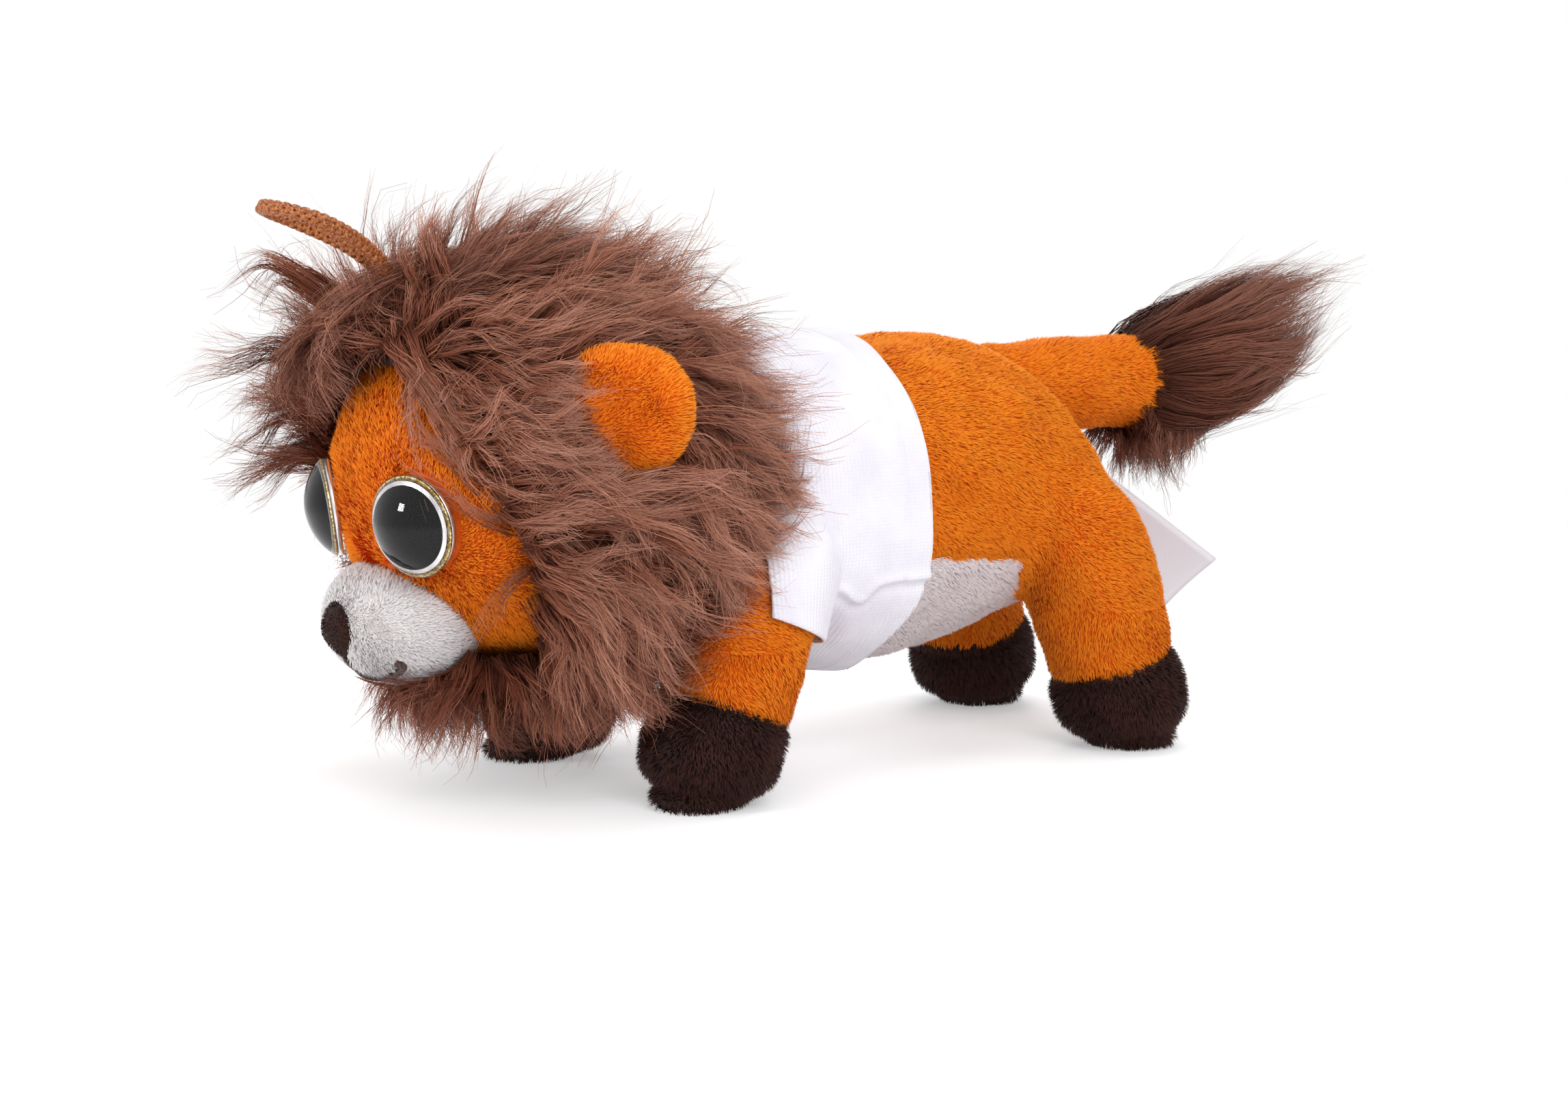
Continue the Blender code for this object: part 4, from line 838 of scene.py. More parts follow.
def build_skins():
    """Orange body and legs, pale belly and brown paws: one stuffed skin, sewn from panels."""
    ys = BODY_FRONT_Y + BODY_LENGTH * np.sin(np.linspace(0.0, 1.0, 70) * math.pi / 2)
    parts = [tube(body_rings(ys[:-1], 0.0))]
    parts += [tube(leg.rings()) for leg in ALL_LEGS]
    points, faces = merged(parts, SKIN_VOXEL, 9)

    # The rump runs in one curve into the thighs
    hips = np.zeros(len(points))
    for leg in ALL_LEGS[2:]:
        away = np.linalg.norm(points - leg.pivot - HIP_OFF, axis=1)
        hips = np.maximum(hips, 1 - smoothstep(away, 8, 17))
    points = relaxed(points, faces, hips * smoothstep(points[:, 2], 27, 34), 90)
    normals = vertex_normals(points, faces)

    # Which leg and panel each point belongs to
    nearest = np.full(len(points), -1)
    closest = np.full(len(points), 9.0)
    share_of = np.zeros(len(points))
    for index, leg in enumerate(ALL_LEGS):
        share, off, _ = leg.place(points)
        gap = off - leg.radius(share)
        mine = (gap < 1.3) & (gap < closest) & (share > -0.1)
        foot = (points[:, 2] < 11) & (np.linalg.norm((points - leg.sole)[:, :2], axis=1) < 16)
        mine |= foot
        nearest[mine] = index
        closest[mine] = gap[mine]
        share_of[mine] = np.where(foot, np.maximum(share, PAW_SEAM_SHARE + 0.02), share)[mine]
    on_leg = nearest >= 0

    # Seams are drawn in: round each paw, along the belly and down the front of each hind leg
    pull = np.full(len(points), PILE_STAND)
    for index, leg in enumerate(ALL_LEGS):
        mine = nearest == index
        share, off, away = leg.place(points)
        gap = np.abs(share - PAW_SEAM_SHARE) * leg.length
        pull += np.where(mine, 0.6 * np.exp(-(gap / 0.8) ** 2), 0)
        pull += np.where(mine, 1.6 * smoothstep(share, 0.86, 1.02), 0)
        if leg.name.startswith("hind"):
            front = np.array((0.35 * np.sign(leg.pivot[0]), -1.0, 0.0))
            turn = np.arccos(np.clip(unit(away) @ unit(front), -1, 1)) * leg.top_radius
            seam = mine & (share > 0.08) & (share < PAW_SEAM_SHARE)
            pull += np.where(seam, 0.5 * np.exp(-(turn / 0.8) ** 2), 0)
    seam_off = np.abs(points[:, 2] - belly_seam(points))
    on_side = ~on_leg & (points[:, 1] > BELLY_FRONT_Y) & (points[:, 1] < BELLY_BACK_Y)
    pull += np.where(on_side, 0.6 * np.exp(-(seam_off / 0.9) ** 2), 0)
    pull *= smoothstep(points[:, 2], -0.5, 1.5) + 0.15
    points = points - normals * pull[:, None]
    points = points + normals * (0.2 * drift(points, 13, 31) + 0.08 * drift(points, 5, 37))[:, None]
    points[:, 2] = np.maximum(points[:, 2], SKIN_FLOOR)

    middle = points[faces].mean(axis=1)
    face_leg = nearest[faces[:, 0]]
    face_share = share_of[faces].mean(axis=1)
    low = middle[:, 2] < belly_seam(middle)
    belly = (face_leg < 0) & low & (middle[:, 1] > BELLY_FRONT_Y) & (middle[:, 1] < BELLY_BACK_Y)
    hidden = (middle[:, 1] < SHIRT_HEM_Y - SKIN_UNDER_SHIRT) & (face_leg < 0)
    torso = (face_leg < 0) & ~belly
    torso |= ~belly & (middle[:, 2] >= LEG_BEND_TOP - 1)

    def torso_nap(places):
        """Back along the body and down its sides."""
        return np.broadcast_to(0.8 * Y - 0.55 * Z, places.shape)

    def torso_tone_and_painted_top_light(places):
        """A little paler all over, and paler still along the top of the back, which is painted light on the
        tips there.
        """
        return 0.1 + 0.35 * smoothstep(places[:, 2], 42, 60)

    def leg_nap(places):
        return np.broadcast_to(-Z + 0.15 * Y, places.shape)

    def off_tail(places):
        """Clear of the tail's root, whose pile is its own."""
        off = places - TAIL_PIVOT
        return (np.hypot(off[:, 0], off[:, 2]) > TAIL_RADIUS - 0.6) | (off[:, 1] < -3)

    def above_floor(places):
        return places[:, 2] > 0.5

    panels = (
        ("back", torso, torso_nap, ORANGE_GROUND, ORANGE_PILE, "orange_plush", "body_skin", 11),
        ("belly", belly, torso_nap, BELLY_GROUND, BELLY_PILE, "white_plush", "belly_panel", 13),
    )
    for name, where, nap, ground, pile, slot, node, seed in panels:
        part = cut_out(points, faces, where & ~hidden)
        add_skin(f"{name}_skin", part, ground, "torso", node)
        short_pile(f"{name}_pile", *part, nap, pile, "torso", slot, seed, keep=off_tail,
                   density=1.15, tone=torso_tone_and_painted_top_light)
    for index, leg in enumerate(ALL_LEGS):
        mine = (face_leg == index) & ~torso & ~belly
        bend = tuple(np.array((leg.pivot[0], leg.pivot[1], height))
                     for height in (LEG_BEND_TOP, LEG_BEND_FOOT))
        inner, sides = tube(leg.rings(lift=-FILLING_INSET, last=FILLING_END_SHARE))
        add_piece(f"{leg.name}_filling", (inner, quads_of(sides)), FILLING, leg.body,
                  (f"leg_stuffing_{leg.name}",), bend)
        on_paw = face_share >= PAW_SEAM_SHARE
        for name, where, ground, pile, slot, seed, lean, length in (
            ("leg", ~on_paw, ORANGE_GROUND, ORANGE_PILE, "orange_plush", 100, 0.95, PILE_LENGTH),
            ("paw", on_paw, BROWN_GROUND, BROWN_PILE, "brown_plush", 200, 0.6, PAW_PILE_LENGTH),
        ):
            part = cut_out(points, faces, mine & where)
            title = f"{leg.name}_{name}"
            add_skin(f"{title}_skin", part, ground, leg.body, f"{name}_{leg.name}", bend)
            short_pile(f"{title}_pile", *part, leg_nap, pile, leg.body, slot, seed + index * 20,
                       bend=bend, keep=above_floor, lean=lean, length=length)


build_skins()


TAIL_ROWS = (
    (-7.4, 0.05), (-6.8, 0.42), (-5.4, 0.68), (-3.0, 0.86), (0.0, 0.94), (5.0, 0.93),
    (12.0, 1.0), (20.0, 0.97), (27.0, 1.0), (30.0, 0.9), (30.4, 0.05),
)


def build_tail():
    """Tail tube of orange pile, from a round end inside the rump to the tuft."""
    rings = []
    for reach, value in smooth_table(TAIL_ROWS, 60):
        radius = TAIL_RADIUS * value - PILE_STAND * min(value, 1)
        rings.append(ring(TAIL_PIVOT + Y * reach, X, Z, max(radius, 0.05), max(radius, 0.05), 48))
    points, faces = tube(rings)
    quads = facing_out(points - TAIL_PIVOT, quads_of(faces))
    normals = vertex_normals(points, quads)
    points = points + normals * (0.2 * drift(points, 9, 61))[:, None]
    add_skin("tail_tube", (points, quads), ORANGE_GROUND, "tail", "tail_skin")
    filling = egg(TAIL_PIVOT, np.full(3, TAIL_FILLING_RADIUS), 40, 32)
    add_piece("tail_root_filling", filling, FILLING, "tail_root", ("tail_root_stuffing",))

    def tail_nap(places):
        return np.broadcast_to(Y, places.shape)

    def outside_rump(places):
        return body_level(places, -3.0) > 1

    short_pile("tail_pile", points, quads, tail_nap, ORANGE_PILE, "tail", "orange_plush", 63,
               keep=outside_rump)


build_tail()


FACE_OUTLINE = smooth_table(FACE_OUTLINE_SHARES, 60)


def in_face(places, margin):
    """Whether a place is inside the mane's opening for the face, seen from the front."""
    heights = FACE_MIDDLE_HEIGHT + FACE_OUTLINE[:, 1] * FACE_HALF_HEIGHT
    order = np.argsort(heights)
    limit = np.interp(places[..., 2], heights[order], FACE_OUTLINE[order, 0] * FACE_HALF_WIDTH,
                      left=-9, right=-9)
    return (np.abs(places[..., 0]) < limit + margin) & (places[..., 1] < FACE_FRONT_Y)


OPENING_FOOT = 22.3


def off_hood(places, margin, foot=OPENING_FOOT):
    """Whether a place is in the face's opening, whose foot is just under the muzzle."""
    return in_face(places, margin) & (places[..., 2] > foot - margin)


def ellipsoid_level(places, centre, size):
    """1 on the ellipsoid, less inside, more outside."""
    return np.linalg.norm((places - centre) / size, axis=-1)


def head_normal(places):
    return unit((places - HEAD_CENTRE) / HEAD_SIZE ** 2)


def eye_look(sign):
    """The way that an eye looks: out to its side and a little down."""
    return np.array((
        sign * math.sin(EYE_OUTWARD_ANGLE) * math.cos(EYE_DOWN_ANGLE),
        -math.cos(EYE_OUTWARD_ANGLE) * math.cos(EYE_DOWN_ANGLE),
        -math.sin(EYE_DOWN_ANGLE),
    ))


def build_head():
    """Face of short orange pile, with the hood's brown backing round it."""
    points, quads = egg(HEAD_CENTRE, HEAD_SIZE - PILE_STAND, *HEAD_FINENESS)
    part = cut_out(points, quads, points[quads].mean(axis=1)[:, 1] < FACE_BACK_Y)
    add_skin("face_skin", part, ORANGE_GROUND, "head", "head_skin")

    def face_nap(places):
        rise = 2 * smoothstep(places[:, 2], 26, 42) - 1
        return 0.7 * Y + np.outer(0.9 * rise, Z) + places * np.array((0.03, 0, 0))

    def face_only(places):
        clear = off_hood(places, 3.0)
        for sign in (1, -1):
            eye = EYE_PLACE * np.array((sign, 1, 1))
            clear &= np.linalg.norm(places - eye, axis=1) > EYE_RADIUS - 0.1
        clear &= ellipsoid_level(places, MUZZLE_CENTRE, MUZZLE_SIZE - PILE_STAND) > 1.0
        return clear

    short_pile("face_pile", *part, face_nap, ORANGE_PILE, "head", "orange_plush", 71,
               keep=face_only, density=1.2)

    points, quads = egg(HEAD_CENTRE, HEAD_SIZE + HOOD_LIFT, *HEAD_FINENESS)
    middle = points[quads].mean(axis=1)
    part = cut_out(points, quads, ~off_hood(middle, 2.4) & (middle[:, 1] < HOOD_BACK_Y))
    add_piece("hood_backing", part, MANE_GROUND, "head", ("mane",))


build_head()


NOSE_CENTRE = np.array((0.3, -92.0, 25.4))
NOSE_SIZE = np.array((3.9, 1.9, 4.2))
NOSE_POINT_SHARE = 0.8
THREAD_PLIES = 3
THREAD_LAY = 1.6
THREAD_REACH = 0.25
THREAD_RADIUS = 0.3


def build_muzzle():
    """White muzzle, brown nose and the embroidered mouth."""
    points, quads = egg(MUZZLE_CENTRE, MUZZLE_SIZE - PILE_STAND, 72, 54)
    middle = points[quads].mean(axis=1)
    part = cut_out(points, quads, ellipsoid_level(middle, HEAD_CENTRE, HEAD_SIZE) > 0.94)
    add_skin("muzzle_skin", part, WHITE_GROUND, "head", "muzzle")
    stitch = mouth_route(120)
    hooks = stitch[np.abs(stitch[:, 0]) > 5]

    def clear_of_face(places):
        clear = ellipsoid_level(places, HEAD_CENTRE, HEAD_SIZE - PILE_STAND) > 1.0
        off_nose = places - NOSE_CENTRE
        narrow = 1 - NOSE_POINT_SHARE * np.clip(-off_nose[:, 2] / NOSE_SIZE[2], 0, 1)
        clear &= np.hypot(off_nose[:, 0] / (NOSE_SIZE[0] * narrow), off_nose[:, 2] / NOSE_SIZE[2]) > 0.95
        gap = np.linalg.norm(places[:, None] - hooks[None], axis=2).min(axis=1)
        return clear & (gap > 0.9)

    def muzzle_nap(places):
        return 1.0 * Y + 0.13 * Z + places * np.array((0.03, 0, 0))

    short_pile("muzzle_pile", *part, muzzle_nap, WHITE_PILE, "head", "white_plush", 81,
               keep=clear_of_face, length=1.0, density=1.6, tone=lambda places: 0.35)

    points, quads = egg(NOSE_CENTRE, NOSE_SIZE, 48, 36)
    drop = np.clip(-(points[:, 2] - NOSE_CENTRE[2]) / NOSE_SIZE[2], 0, 1)
    points[:, 0] *= 1 - NOSE_POINT_SHARE * drop ** 1.2
    points[:, 1] += 2.4 * drop ** 1.5
    part = cut_out(points, quads, points[quads].mean(axis=1)[:, 1] < NOSE_CENTRE[1] + 2.5)
    add_skin("nose_skin", part, BROWN_GROUND, "head", "nose")

    def nose_nap(places):
        return np.broadcast_to(-Z, places.shape)

    # Painted light: the nap paler towards the nose's edge, where its fibres catch the light, and a little
    # darker in its middle
    def nose_painted_edge_light(places):
        off = (places - NOSE_CENTRE) / NOSE_SIZE
        return 0.5 * smoothstep(np.hypot(off[:, 0], off[:, 2]), 0.6, 1.0) - 0.1

    short_pile("nose_pile", *part, nose_nap, BROWN_PILE, "head", "nose_cloth", 83, length=0.6,
               tone=nose_painted_edge_light)

    # Twisted rayon thread: satin, and as dark as the nose
    thread = new_material("embroidery_thread", {
        "Base Color": linear("#3A1C14"), "Roughness": 0.5, "Sheen Weight": 0.2,
    })
    for name, route, node in (("mouth_thread", stitch, "mouth_stitch"),
                              ("lip_thread", lip_route(40), "lip_stitch")):
        line, length = even_route(route, 0.12)
        side, up = carried_frame(line)
        places = np.linspace(0, length, len(line))
        plies = []
        for ply in range(THREAD_PLIES):
            angle = TURN * places / THREAD_LAY + TURN * ply / THREAD_PLIES
            way = side * np.cos(angle)[:, None] + up * np.sin(angle)[:, None]
            plies.append(line + way * THREAD_REACH)
        add_piece(name, round_tubes(plies, THREAD_RADIUS, 6), thread, "head", (node,))


def muzzle_point(turn, drop, lift):
    flat = np.cos(drop)
    way = np.stack([np.sin(turn) * flat, -np.cos(turn) * flat, -np.sin(drop)], axis=-1)
    return MUZZLE_CENTRE + (MUZZLE_SIZE + lift) * way


# The smile, as angles to the side and down from the muzzle's middle, with a hook at its corner
MOUTH_ROWS = (
    (0, 59), (16, 58), (31.5, 55.9), (46.4, 50.7), (55.8, 42.6), (59.5, 36.8), (57, 33.3), (52.5, 32.5),
)


def mouth_route(count):
    half = np.radians(np.array(MOUTH_ROWS, float))
    rows = smooth_table(np.concatenate([half[:0:-1] * np.array((-1, 1)), half]), count)
    return muzzle_point(rows[:, 0], rows[:, 1], -0.45)


def lip_route(count):
    drop = np.radians(np.linspace(33, 58, count))
    return muzzle_point(np.zeros(count), drop, -0.6)


build_muzzle()


LATHE_SIDES = 64


def lathe(origin, way, profile):
    """A turned surface: profile rows are distance along the way and radius."""
    across = unit(np.cross(way, Z))
    up = np.cross(across, way)
    points = np.concatenate([
        ring(origin + way * reach, across, up, radius, radius, LATHE_SIDES) for reach, radius in profile
    ])
    return points, facing_out(points - origin, ring_quads(len(profile), LATHE_SIDES))


# Turned shapes of the eye: distance out along its look, and radius. A point stands for the axis.
POINT = 0.01
DOME_STEPS = 24
PUPIL_PROFILE = ((0.5, POINT), (0.5, 5.3), (0.4, 5.45), (0.2, 5.45), (0.2, POINT))
GLITTER_PROFILE = ((0.06, 6.2), (0.2, 6.2), (0.2, 6.75), (0.06, 6.9), (0.06, 6.2))
SILVER_PROFILE = ((0.16, POINT), (0.16, 6.1), (0.04, 6.15), (0.04, POINT))
SHANK_PROFILE = ((-0.05, POINT), (-0.05, 6.9), (-0.9, 6.9), (-0.9, 1.5), (-7.9, 1.5), (-7.9, POINT))


def dome_profile():
    """The clear dome: flat behind, a small step at its edge and a round front."""
    ball = (EYE_RADIUS ** 2 + EYE_DOME_HEIGHT ** 2) / (2 * EYE_DOME_HEIGHT)
    edge = math.asin(EYE_RADIUS / ball)
    rows = [(0.0, POINT), (0.0, EYE_RADIUS - 0.15), (0.08, EYE_RADIUS)]
    for step in range(1, DOME_STEPS):
        turn = edge * (1 - step / DOME_STEPS)
        rows.append((EYE_DOME_HEIGHT - ball + ball * math.cos(turn), ball * math.sin(turn)))
    return rows + [(EYE_DOME_HEIGHT, POINT)]


def glitter_print():
    """Gold glitter: flakes some 0.3 mm across, each with its own tilt, and painted glints: each flake's
    colour runs from dark gold to near white.
    """
    material = new_material("gold_glitter_print", {"Roughness": 0.3, "Metallic": 0.7})
    tree = material.node_tree
    where = add_node(tree, "ShaderNodeTexCoord")
    flakes = add_node(tree, "ShaderNodeTexVoronoi", {
        "Vector": where.outputs["Object"], "Scale": 1 / (0.28 * MM),
    })
    # Painted glints: flakes from dark gold to near white
    colours = ((0.2, "#9A7226"), (0.45, "#D9AE4C"), (0.7, "#F9E3A0"), (0.85, "#FFFBE8"))
    dress(material, flakes.outputs["Color"], colours, (0.6, 0.1))
    return material


def build_eyes():
    """Moulded clear dome over a black pupil, with a silvered back and gold glitter at its rim."""
    # Polished acrylic has an IOR of 1.49. It is lower here, so that the pupil shows as dark as it is.
    lens = new_material("clear_eye_acrylic", {
        "Base Color": linear("#FFFFFF"), "Roughness": 0.0, "IOR": 1.38,
        "Transmission Weight": 1.0,
    })
    # Ink that shows no shine of its own behind the dome
    pupil = new_material("black_pupil_print", {
        "Base Color": linear("#030304"), "Roughness": 1.0, "Specular IOR Level": 0.0,
    })
    # Metallised film: bright, and a little cloudy
    silver = new_material("silvered_back_print", {"Roughness": 0.22, "Metallic": 0.85})
    mottle(silver, 3.0, 2.0, ((0.35, "#C9C3C4"), (0.6, "#F6F4F4")))
    shapes = (
        ("eye_dome", dome_profile(), lens, "eye_lens", "eye_lens"),
        ("eye_pupil", PUPIL_PROFILE, pupil, "eye_print", None),
        ("eye_glitter", GLITTER_PROFILE, glitter_print(), "eye_print", None),
        ("eye_silver", SILVER_PROFILE, silver, "eye_print", None),
        ("eye_shank", SHANK_PROFILE, silver, "eye_print", "eye_back"),
    )
    for side, sign in SIDES:
        place = EYE_PLACE * np.array((sign, 1, 1))
        for name, rows, material, slot, node in shapes:
            shape = lathe(place, eye_look(sign), rows)
            replaced = (f"{node}_{side}",) if node else ()
            add_piece(f"{name}_{side}", shape, material, "head", replaced)


build_eyes()


EAR_RISE = 15.0
EAR_HALF_WIDTH = 9.4
EAR_HALF_DEPTH = 3.0
EAR_SIDES = 56
EAR_FOOT_LIFT = 0.4
EAR_UP_ANGLE = math.radians(18.5)
EAR_BACK_ANGLE = math.radians(-10)
EAR_OUTWARD_ANGLE = math.radians(40)
EAR_RISE_ANGLE = math.radians(24)


def ear_frame(sign):
    """Foot, rise, width and face of an ear, which looks forward and out."""
    way = unit(np.array((
        sign * math.cos(EAR_UP_ANGLE) * math.cos(EAR_BACK_ANGLE),
        math.sin(EAR_BACK_ANGLE),
        math.sin(EAR_UP_ANGLE),
    )))
    foot = HEAD_CENTRE + way * (1 / np.linalg.norm(way / HEAD_SIZE) + EAR_FOOT_LIFT)
    face = np.array((sign * math.sin(EAR_OUTWARD_ANGLE), -math.cos(EAR_OUTWARD_ANGLE), 0.0))
    rise = np.array((
        sign * math.cos(EAR_OUTWARD_ANGLE) * math.cos(EAR_RISE_ANGLE),
        math.sin(EAR_OUTWARD_ANGLE) * math.cos(EAR_RISE_ANGLE),
        math.sin(EAR_RISE_ANGLE),
    ))
    return foot, rise, unit(np.cross(face, rise)), face


EAR_SHARES = (
    (-0.25, 0.78, 0.55), (0.00, 0.86, 0.60), (0.12, 0.93, 0.75), (0.30, 1.00, 0.95),
    (0.52, 0.95, 1.00), (0.72, 0.79, 0.92), (0.88, 0.54, 0.70), (0.96, 0.30, 0.42), (1.0, 0.02, 0.05),
)


def build_ears():
    """Round padded ears with a dished front, their one orange pile painted pale round the rim as light from
    behind and darker in the middle of the dish as painted shade.
    """
    for side, sign in SIDES:
        foot, rise, width, face = ear_frame(sign)
        rings = []
        for share, wide, thick in smooth_table(EAR_SHARES, 48):
            centre = foot + rise * (EAR_RISE * share)
            turn = np.arange(EAR_SIDES) * TURN / EAR_SIDES
            across = np.cos(turn) * (EAR_HALF_WIDTH - 0.6) * wide
            bulge = np.sin(turn)
            inner = np.clip(1 - (np.abs(np.cos(turn)) / 0.8) ** 2, 0, 1) ** 1.5
            hollow = inner * float(smoothstep(share, 0.0, 0.3) * (1 - smoothstep(share, 0.6, 0.92)))
            out = np.where(bulge > 0, bulge * (1 - 0.45 * hollow), bulge) * EAR_HALF_DEPTH * thick
            rings.append(centre + across[:, None] * width + out[:, None] * face)
        points, faces = tube(rings)
        quads = facing_out(points - foot - rise * 6, quads_of(faces))
        normals = vertex_normals(points, quads)
        points = points + normals * (0.15 * drift(points, 6, 91))[:, None]
        body = f"{side}_ear"
        add_skin(f"ear_skin_{side}", (points, quads), ORANGE_GROUND, body,
                 f"ear_{side}")

        def rim(places):
            """Painted light and shade: pale round the edge and on the back, as light from behind, and
            deeper orange in the middle of the dished front, as shade in the hollow.
            """
            off = places - (foot + rise * 6.6)
            reach = np.hypot((off @ width) / EAR_HALF_WIDTH, (off @ rise) / 8.4)
            front = smoothstep(off @ face, 0.3, 1.2)
            return 0.6 * smoothstep(reach, 0.6, 0.95) - 0.25 * (1 - smoothstep(reach, 0.3, 0.8)) * front

        def ear_nap(places):
            off = places - (foot + rise * 2)
            return (off - face * (off @ face)[:, None]) * 0.25 + rise * 6 - face * 7

        short_pile(f"ear_pile_{side}", points, quads, ear_nap, ORANGE_PILE, body, "orange_plush", 93,
                   tone=rim, lean=1.1, density=1.3)


build_ears()


# Long pile: strands gather in wavy locks, as brushed polyester fur does
STRAND_STEPS = 9
STRANDS_EACH = 32
STRAND_WIDTH = 0.14
STRAND_FLOOR = 0.4
FINE_LOCKS = 4
CLEAR_OF_SKIN = 2.2


def grow(roots, away, lengths, field):
    """Paths that start away from the surface and follow the field, one for each lock."""
    paths = np.empty((len(roots), STRAND_STEPS, 3))
    paths[:, 0] = roots
    way = away
    here = roots
    for step in range(1, STRAND_STEPS):
        way = unit(way * 0.5 + field(here, step / (STRAND_STEPS - 1)) * 0.5)
        here = here + way * (lengths / (STRAND_STEPS - 1))[:, None]
        paths[:, step] = here
    return clear_of_lion(paths)


def push_out(places, centre, size):
    """Places inside an ellipsoid moved out to its surface."""
    level = ellipsoid_level(places, centre, size)[..., None]
    return np.where(level < 1, centre + (places - centre) / np.maximum(level, 0.2), places)


def clear_of_lion(places):
    """Places inside the head, the shirt or a fore leg moved out to its surface."""
    places = push_out(places, HEAD_CENTRE, HEAD_SIZE + 1.2)
    level = body_level(places, CLEAR_OF_SKIN)[..., None]
    _, middle, _ = body_section(places[..., 1])
    axis = np.stack([np.zeros(places.shape[:-1]), places[..., 1], middle], axis=-1)
    places = np.where(level < 1, axis + (places - axis) / np.maximum(level, 0.2), places)
    for leg in ALL_LEGS[:2]:
        share, off, away = leg.place(places)
        limit = leg.radius(np.clip(share, 0, 1)) + CLEAR_OF_SKIN
        scale = (limit / np.maximum(off, 0.5) - 1)[..., None]
        inside = (off < limit) & (share > 0) & (share < 1)
        places = np.where(inside[..., None], places + away * scale, places)
        ball = np.linalg.norm(places - leg.pivot, axis=-1)
        inside = (ball < limit) & (share <= 0)
        moved = leg.pivot + (places - leg.pivot) * (limit / np.maximum(ball, 0.5))[..., None]
        places = np.where(inside[..., None], moved, places)
    return places


def at_each(strands, cut):
    """Each strand resampled to a share of its length, or run on a little past its end."""
    steps = strands.shape[1]
    place = np.linspace(0, 1, steps)[None] * cut[:, None] * (steps - 1)
    low = np.clip(place.astype(int), 0, steps - 2)
    blend = (place - low)[..., None]
    rows = np.arange(len(strands))[:, None]
    return strands[rows, low] * (1 - blend) + strands[rows, low + 1] * blend


def lock_strands(guides, each, spread, tip_spread, wave, rng, wavelength, stray=0.1):
    """Strands round each lock's path: wide at the root, drawn together, and loose at the tips."""
    locks, steps = guides.shape[:2]
    index = np.repeat(np.arange(locks), each)
    count = len(index)
    along = np.linspace(0, 1, steps)
    tangent = unit(np.gradient(guides, axis=1))
    first = unit(rng.normal(size=(locks, 3)))
    side = unit(np.cross(tangent, first[:, None]))
    up = np.cross(tangent, side)
    length = np.linalg.norm(np.diff(guides, axis=1), axis=2).sum(axis=1)
    phase = rng.uniform(0, TURN, locks)
    angle = TURN * length[:, None] / wavelength * along[None] + phase[:, None]
    size = wave * rng.uniform(0.4, 1.3, locks)[:, None] * along[None] ** 0.6
    guides = guides + side * (np.sin(angle) * size)[..., None]
    guides = guides + up * (np.cos(angle * 0.7) * size * 0.6)[..., None]
    strands = guides[index].copy()
    turn = rng.uniform(0, TURN, count)
    reach = np.sqrt(rng.random(count)) * np.broadcast_to(spread, locks)[index]
    root_off = (side[index, 0] * (np.cos(turn) * reach)[:, None]
                + up[index, 0] * (np.sin(turn) * reach)[:, None])
    tip_off = rng.normal(0, 1, (count, 3)) * np.broadcast_to(tip_spread, locks)[index][:, None]
    loose = rng.random(count) < stray
    tip_off[loose] *= 2.6
    strands += root_off[:, None] * (1 - 0.75 * along ** 0.8)[None, :, None]
    strands += tip_off[:, None] * (along ** 1.4)[None, :, None]
    strands = at_each(strands, rng.uniform(0.7, 1.08, count))
    jig = rng.uniform(0, TURN, (count, 3))
    fast = TURN * along[None, :, None] * length[index][:, None, None] / (wavelength * 0.5)
    strands += 0.2 * along[None, :, None] * np.sin(fast + jig[:, None])
    return strands, index


def add_fur(name, strands, index, outward, material, body, rng, node, width=1.0, tone=0.0):
    """A piece of long pile from its strands, with a shade for each lock, in place of its node."""
    locks = index.max() + 1
    shade = rng.normal(0.5, 0.17, locks)[index] + rng.normal(0, 0.15, len(index)) + tone
    roll = rng.normal(0, 0.45, len(index))
    widths = STRAND_WIDTH * width * rng.uniform(0.7, 1.25, len(index))
    strands[..., 2] = np.maximum(strands[..., 2], STRAND_FLOOR)
    shape = ribbons(strands, outward, widths, roll, np.clip(shade, 0, 1))
    add_piece(name, shape, material, body, (node,))


# The mane's main locks, as the solids have them
MANE_LOCKS = 20
MANE_LOCK_DEPTH = 3.6
MANE_HOLLOW_SHARE = 0.75
MANE_LUMP_SHARE = 0.25
MANE_LUMPS = 3
MANE_LUMP_STEP_SHARE = 0.38
MANE_SWEEP_SHARE = 0.28
MANE_PARTING_ANGLE = math.radians(45)
MANE_WAVE_ANGLE = math.radians(5)
MANE_WAVE_SHARE = 4.5
MANE_WAVE_TURNS = 3
MANE_REAR_DEPTH = 31.0


def lock_fall(back):
    """How far a lock has fallen to the side at an angle from the front."""
    return np.exp(MANE_SWEEP_SHARE * (back - MANE_PARTING_ANGLE))


def lock_wave(start, back):
    return MANE_WAVE_ANGLE * np.sin(MANE_WAVE_SHARE * back + MANE_WAVE_TURNS * start)


def mane_place(start, back, level):
    """Place on the hood: which lock it is in, its angle from the front and its height."""
    wave = lock_wave(start, back)
    turn = 2 * np.arctan2(np.sin(start / 2) * lock_fall(back), np.cos(start / 2)) + wave
    depth = np.where(back < math.pi / 2, MANE_SIZE[1], MANE_REAR_DEPTH)
    way = np.stack([
        np.sin(turn) * np.sin(back) * MANE_SIZE[0],
        -np.cos(back) * depth,
        np.cos(turn) * np.sin(back) * MANE_SIZE[2],
    ], axis=-1)
    return MANE_CENTRE + way * level[..., None]


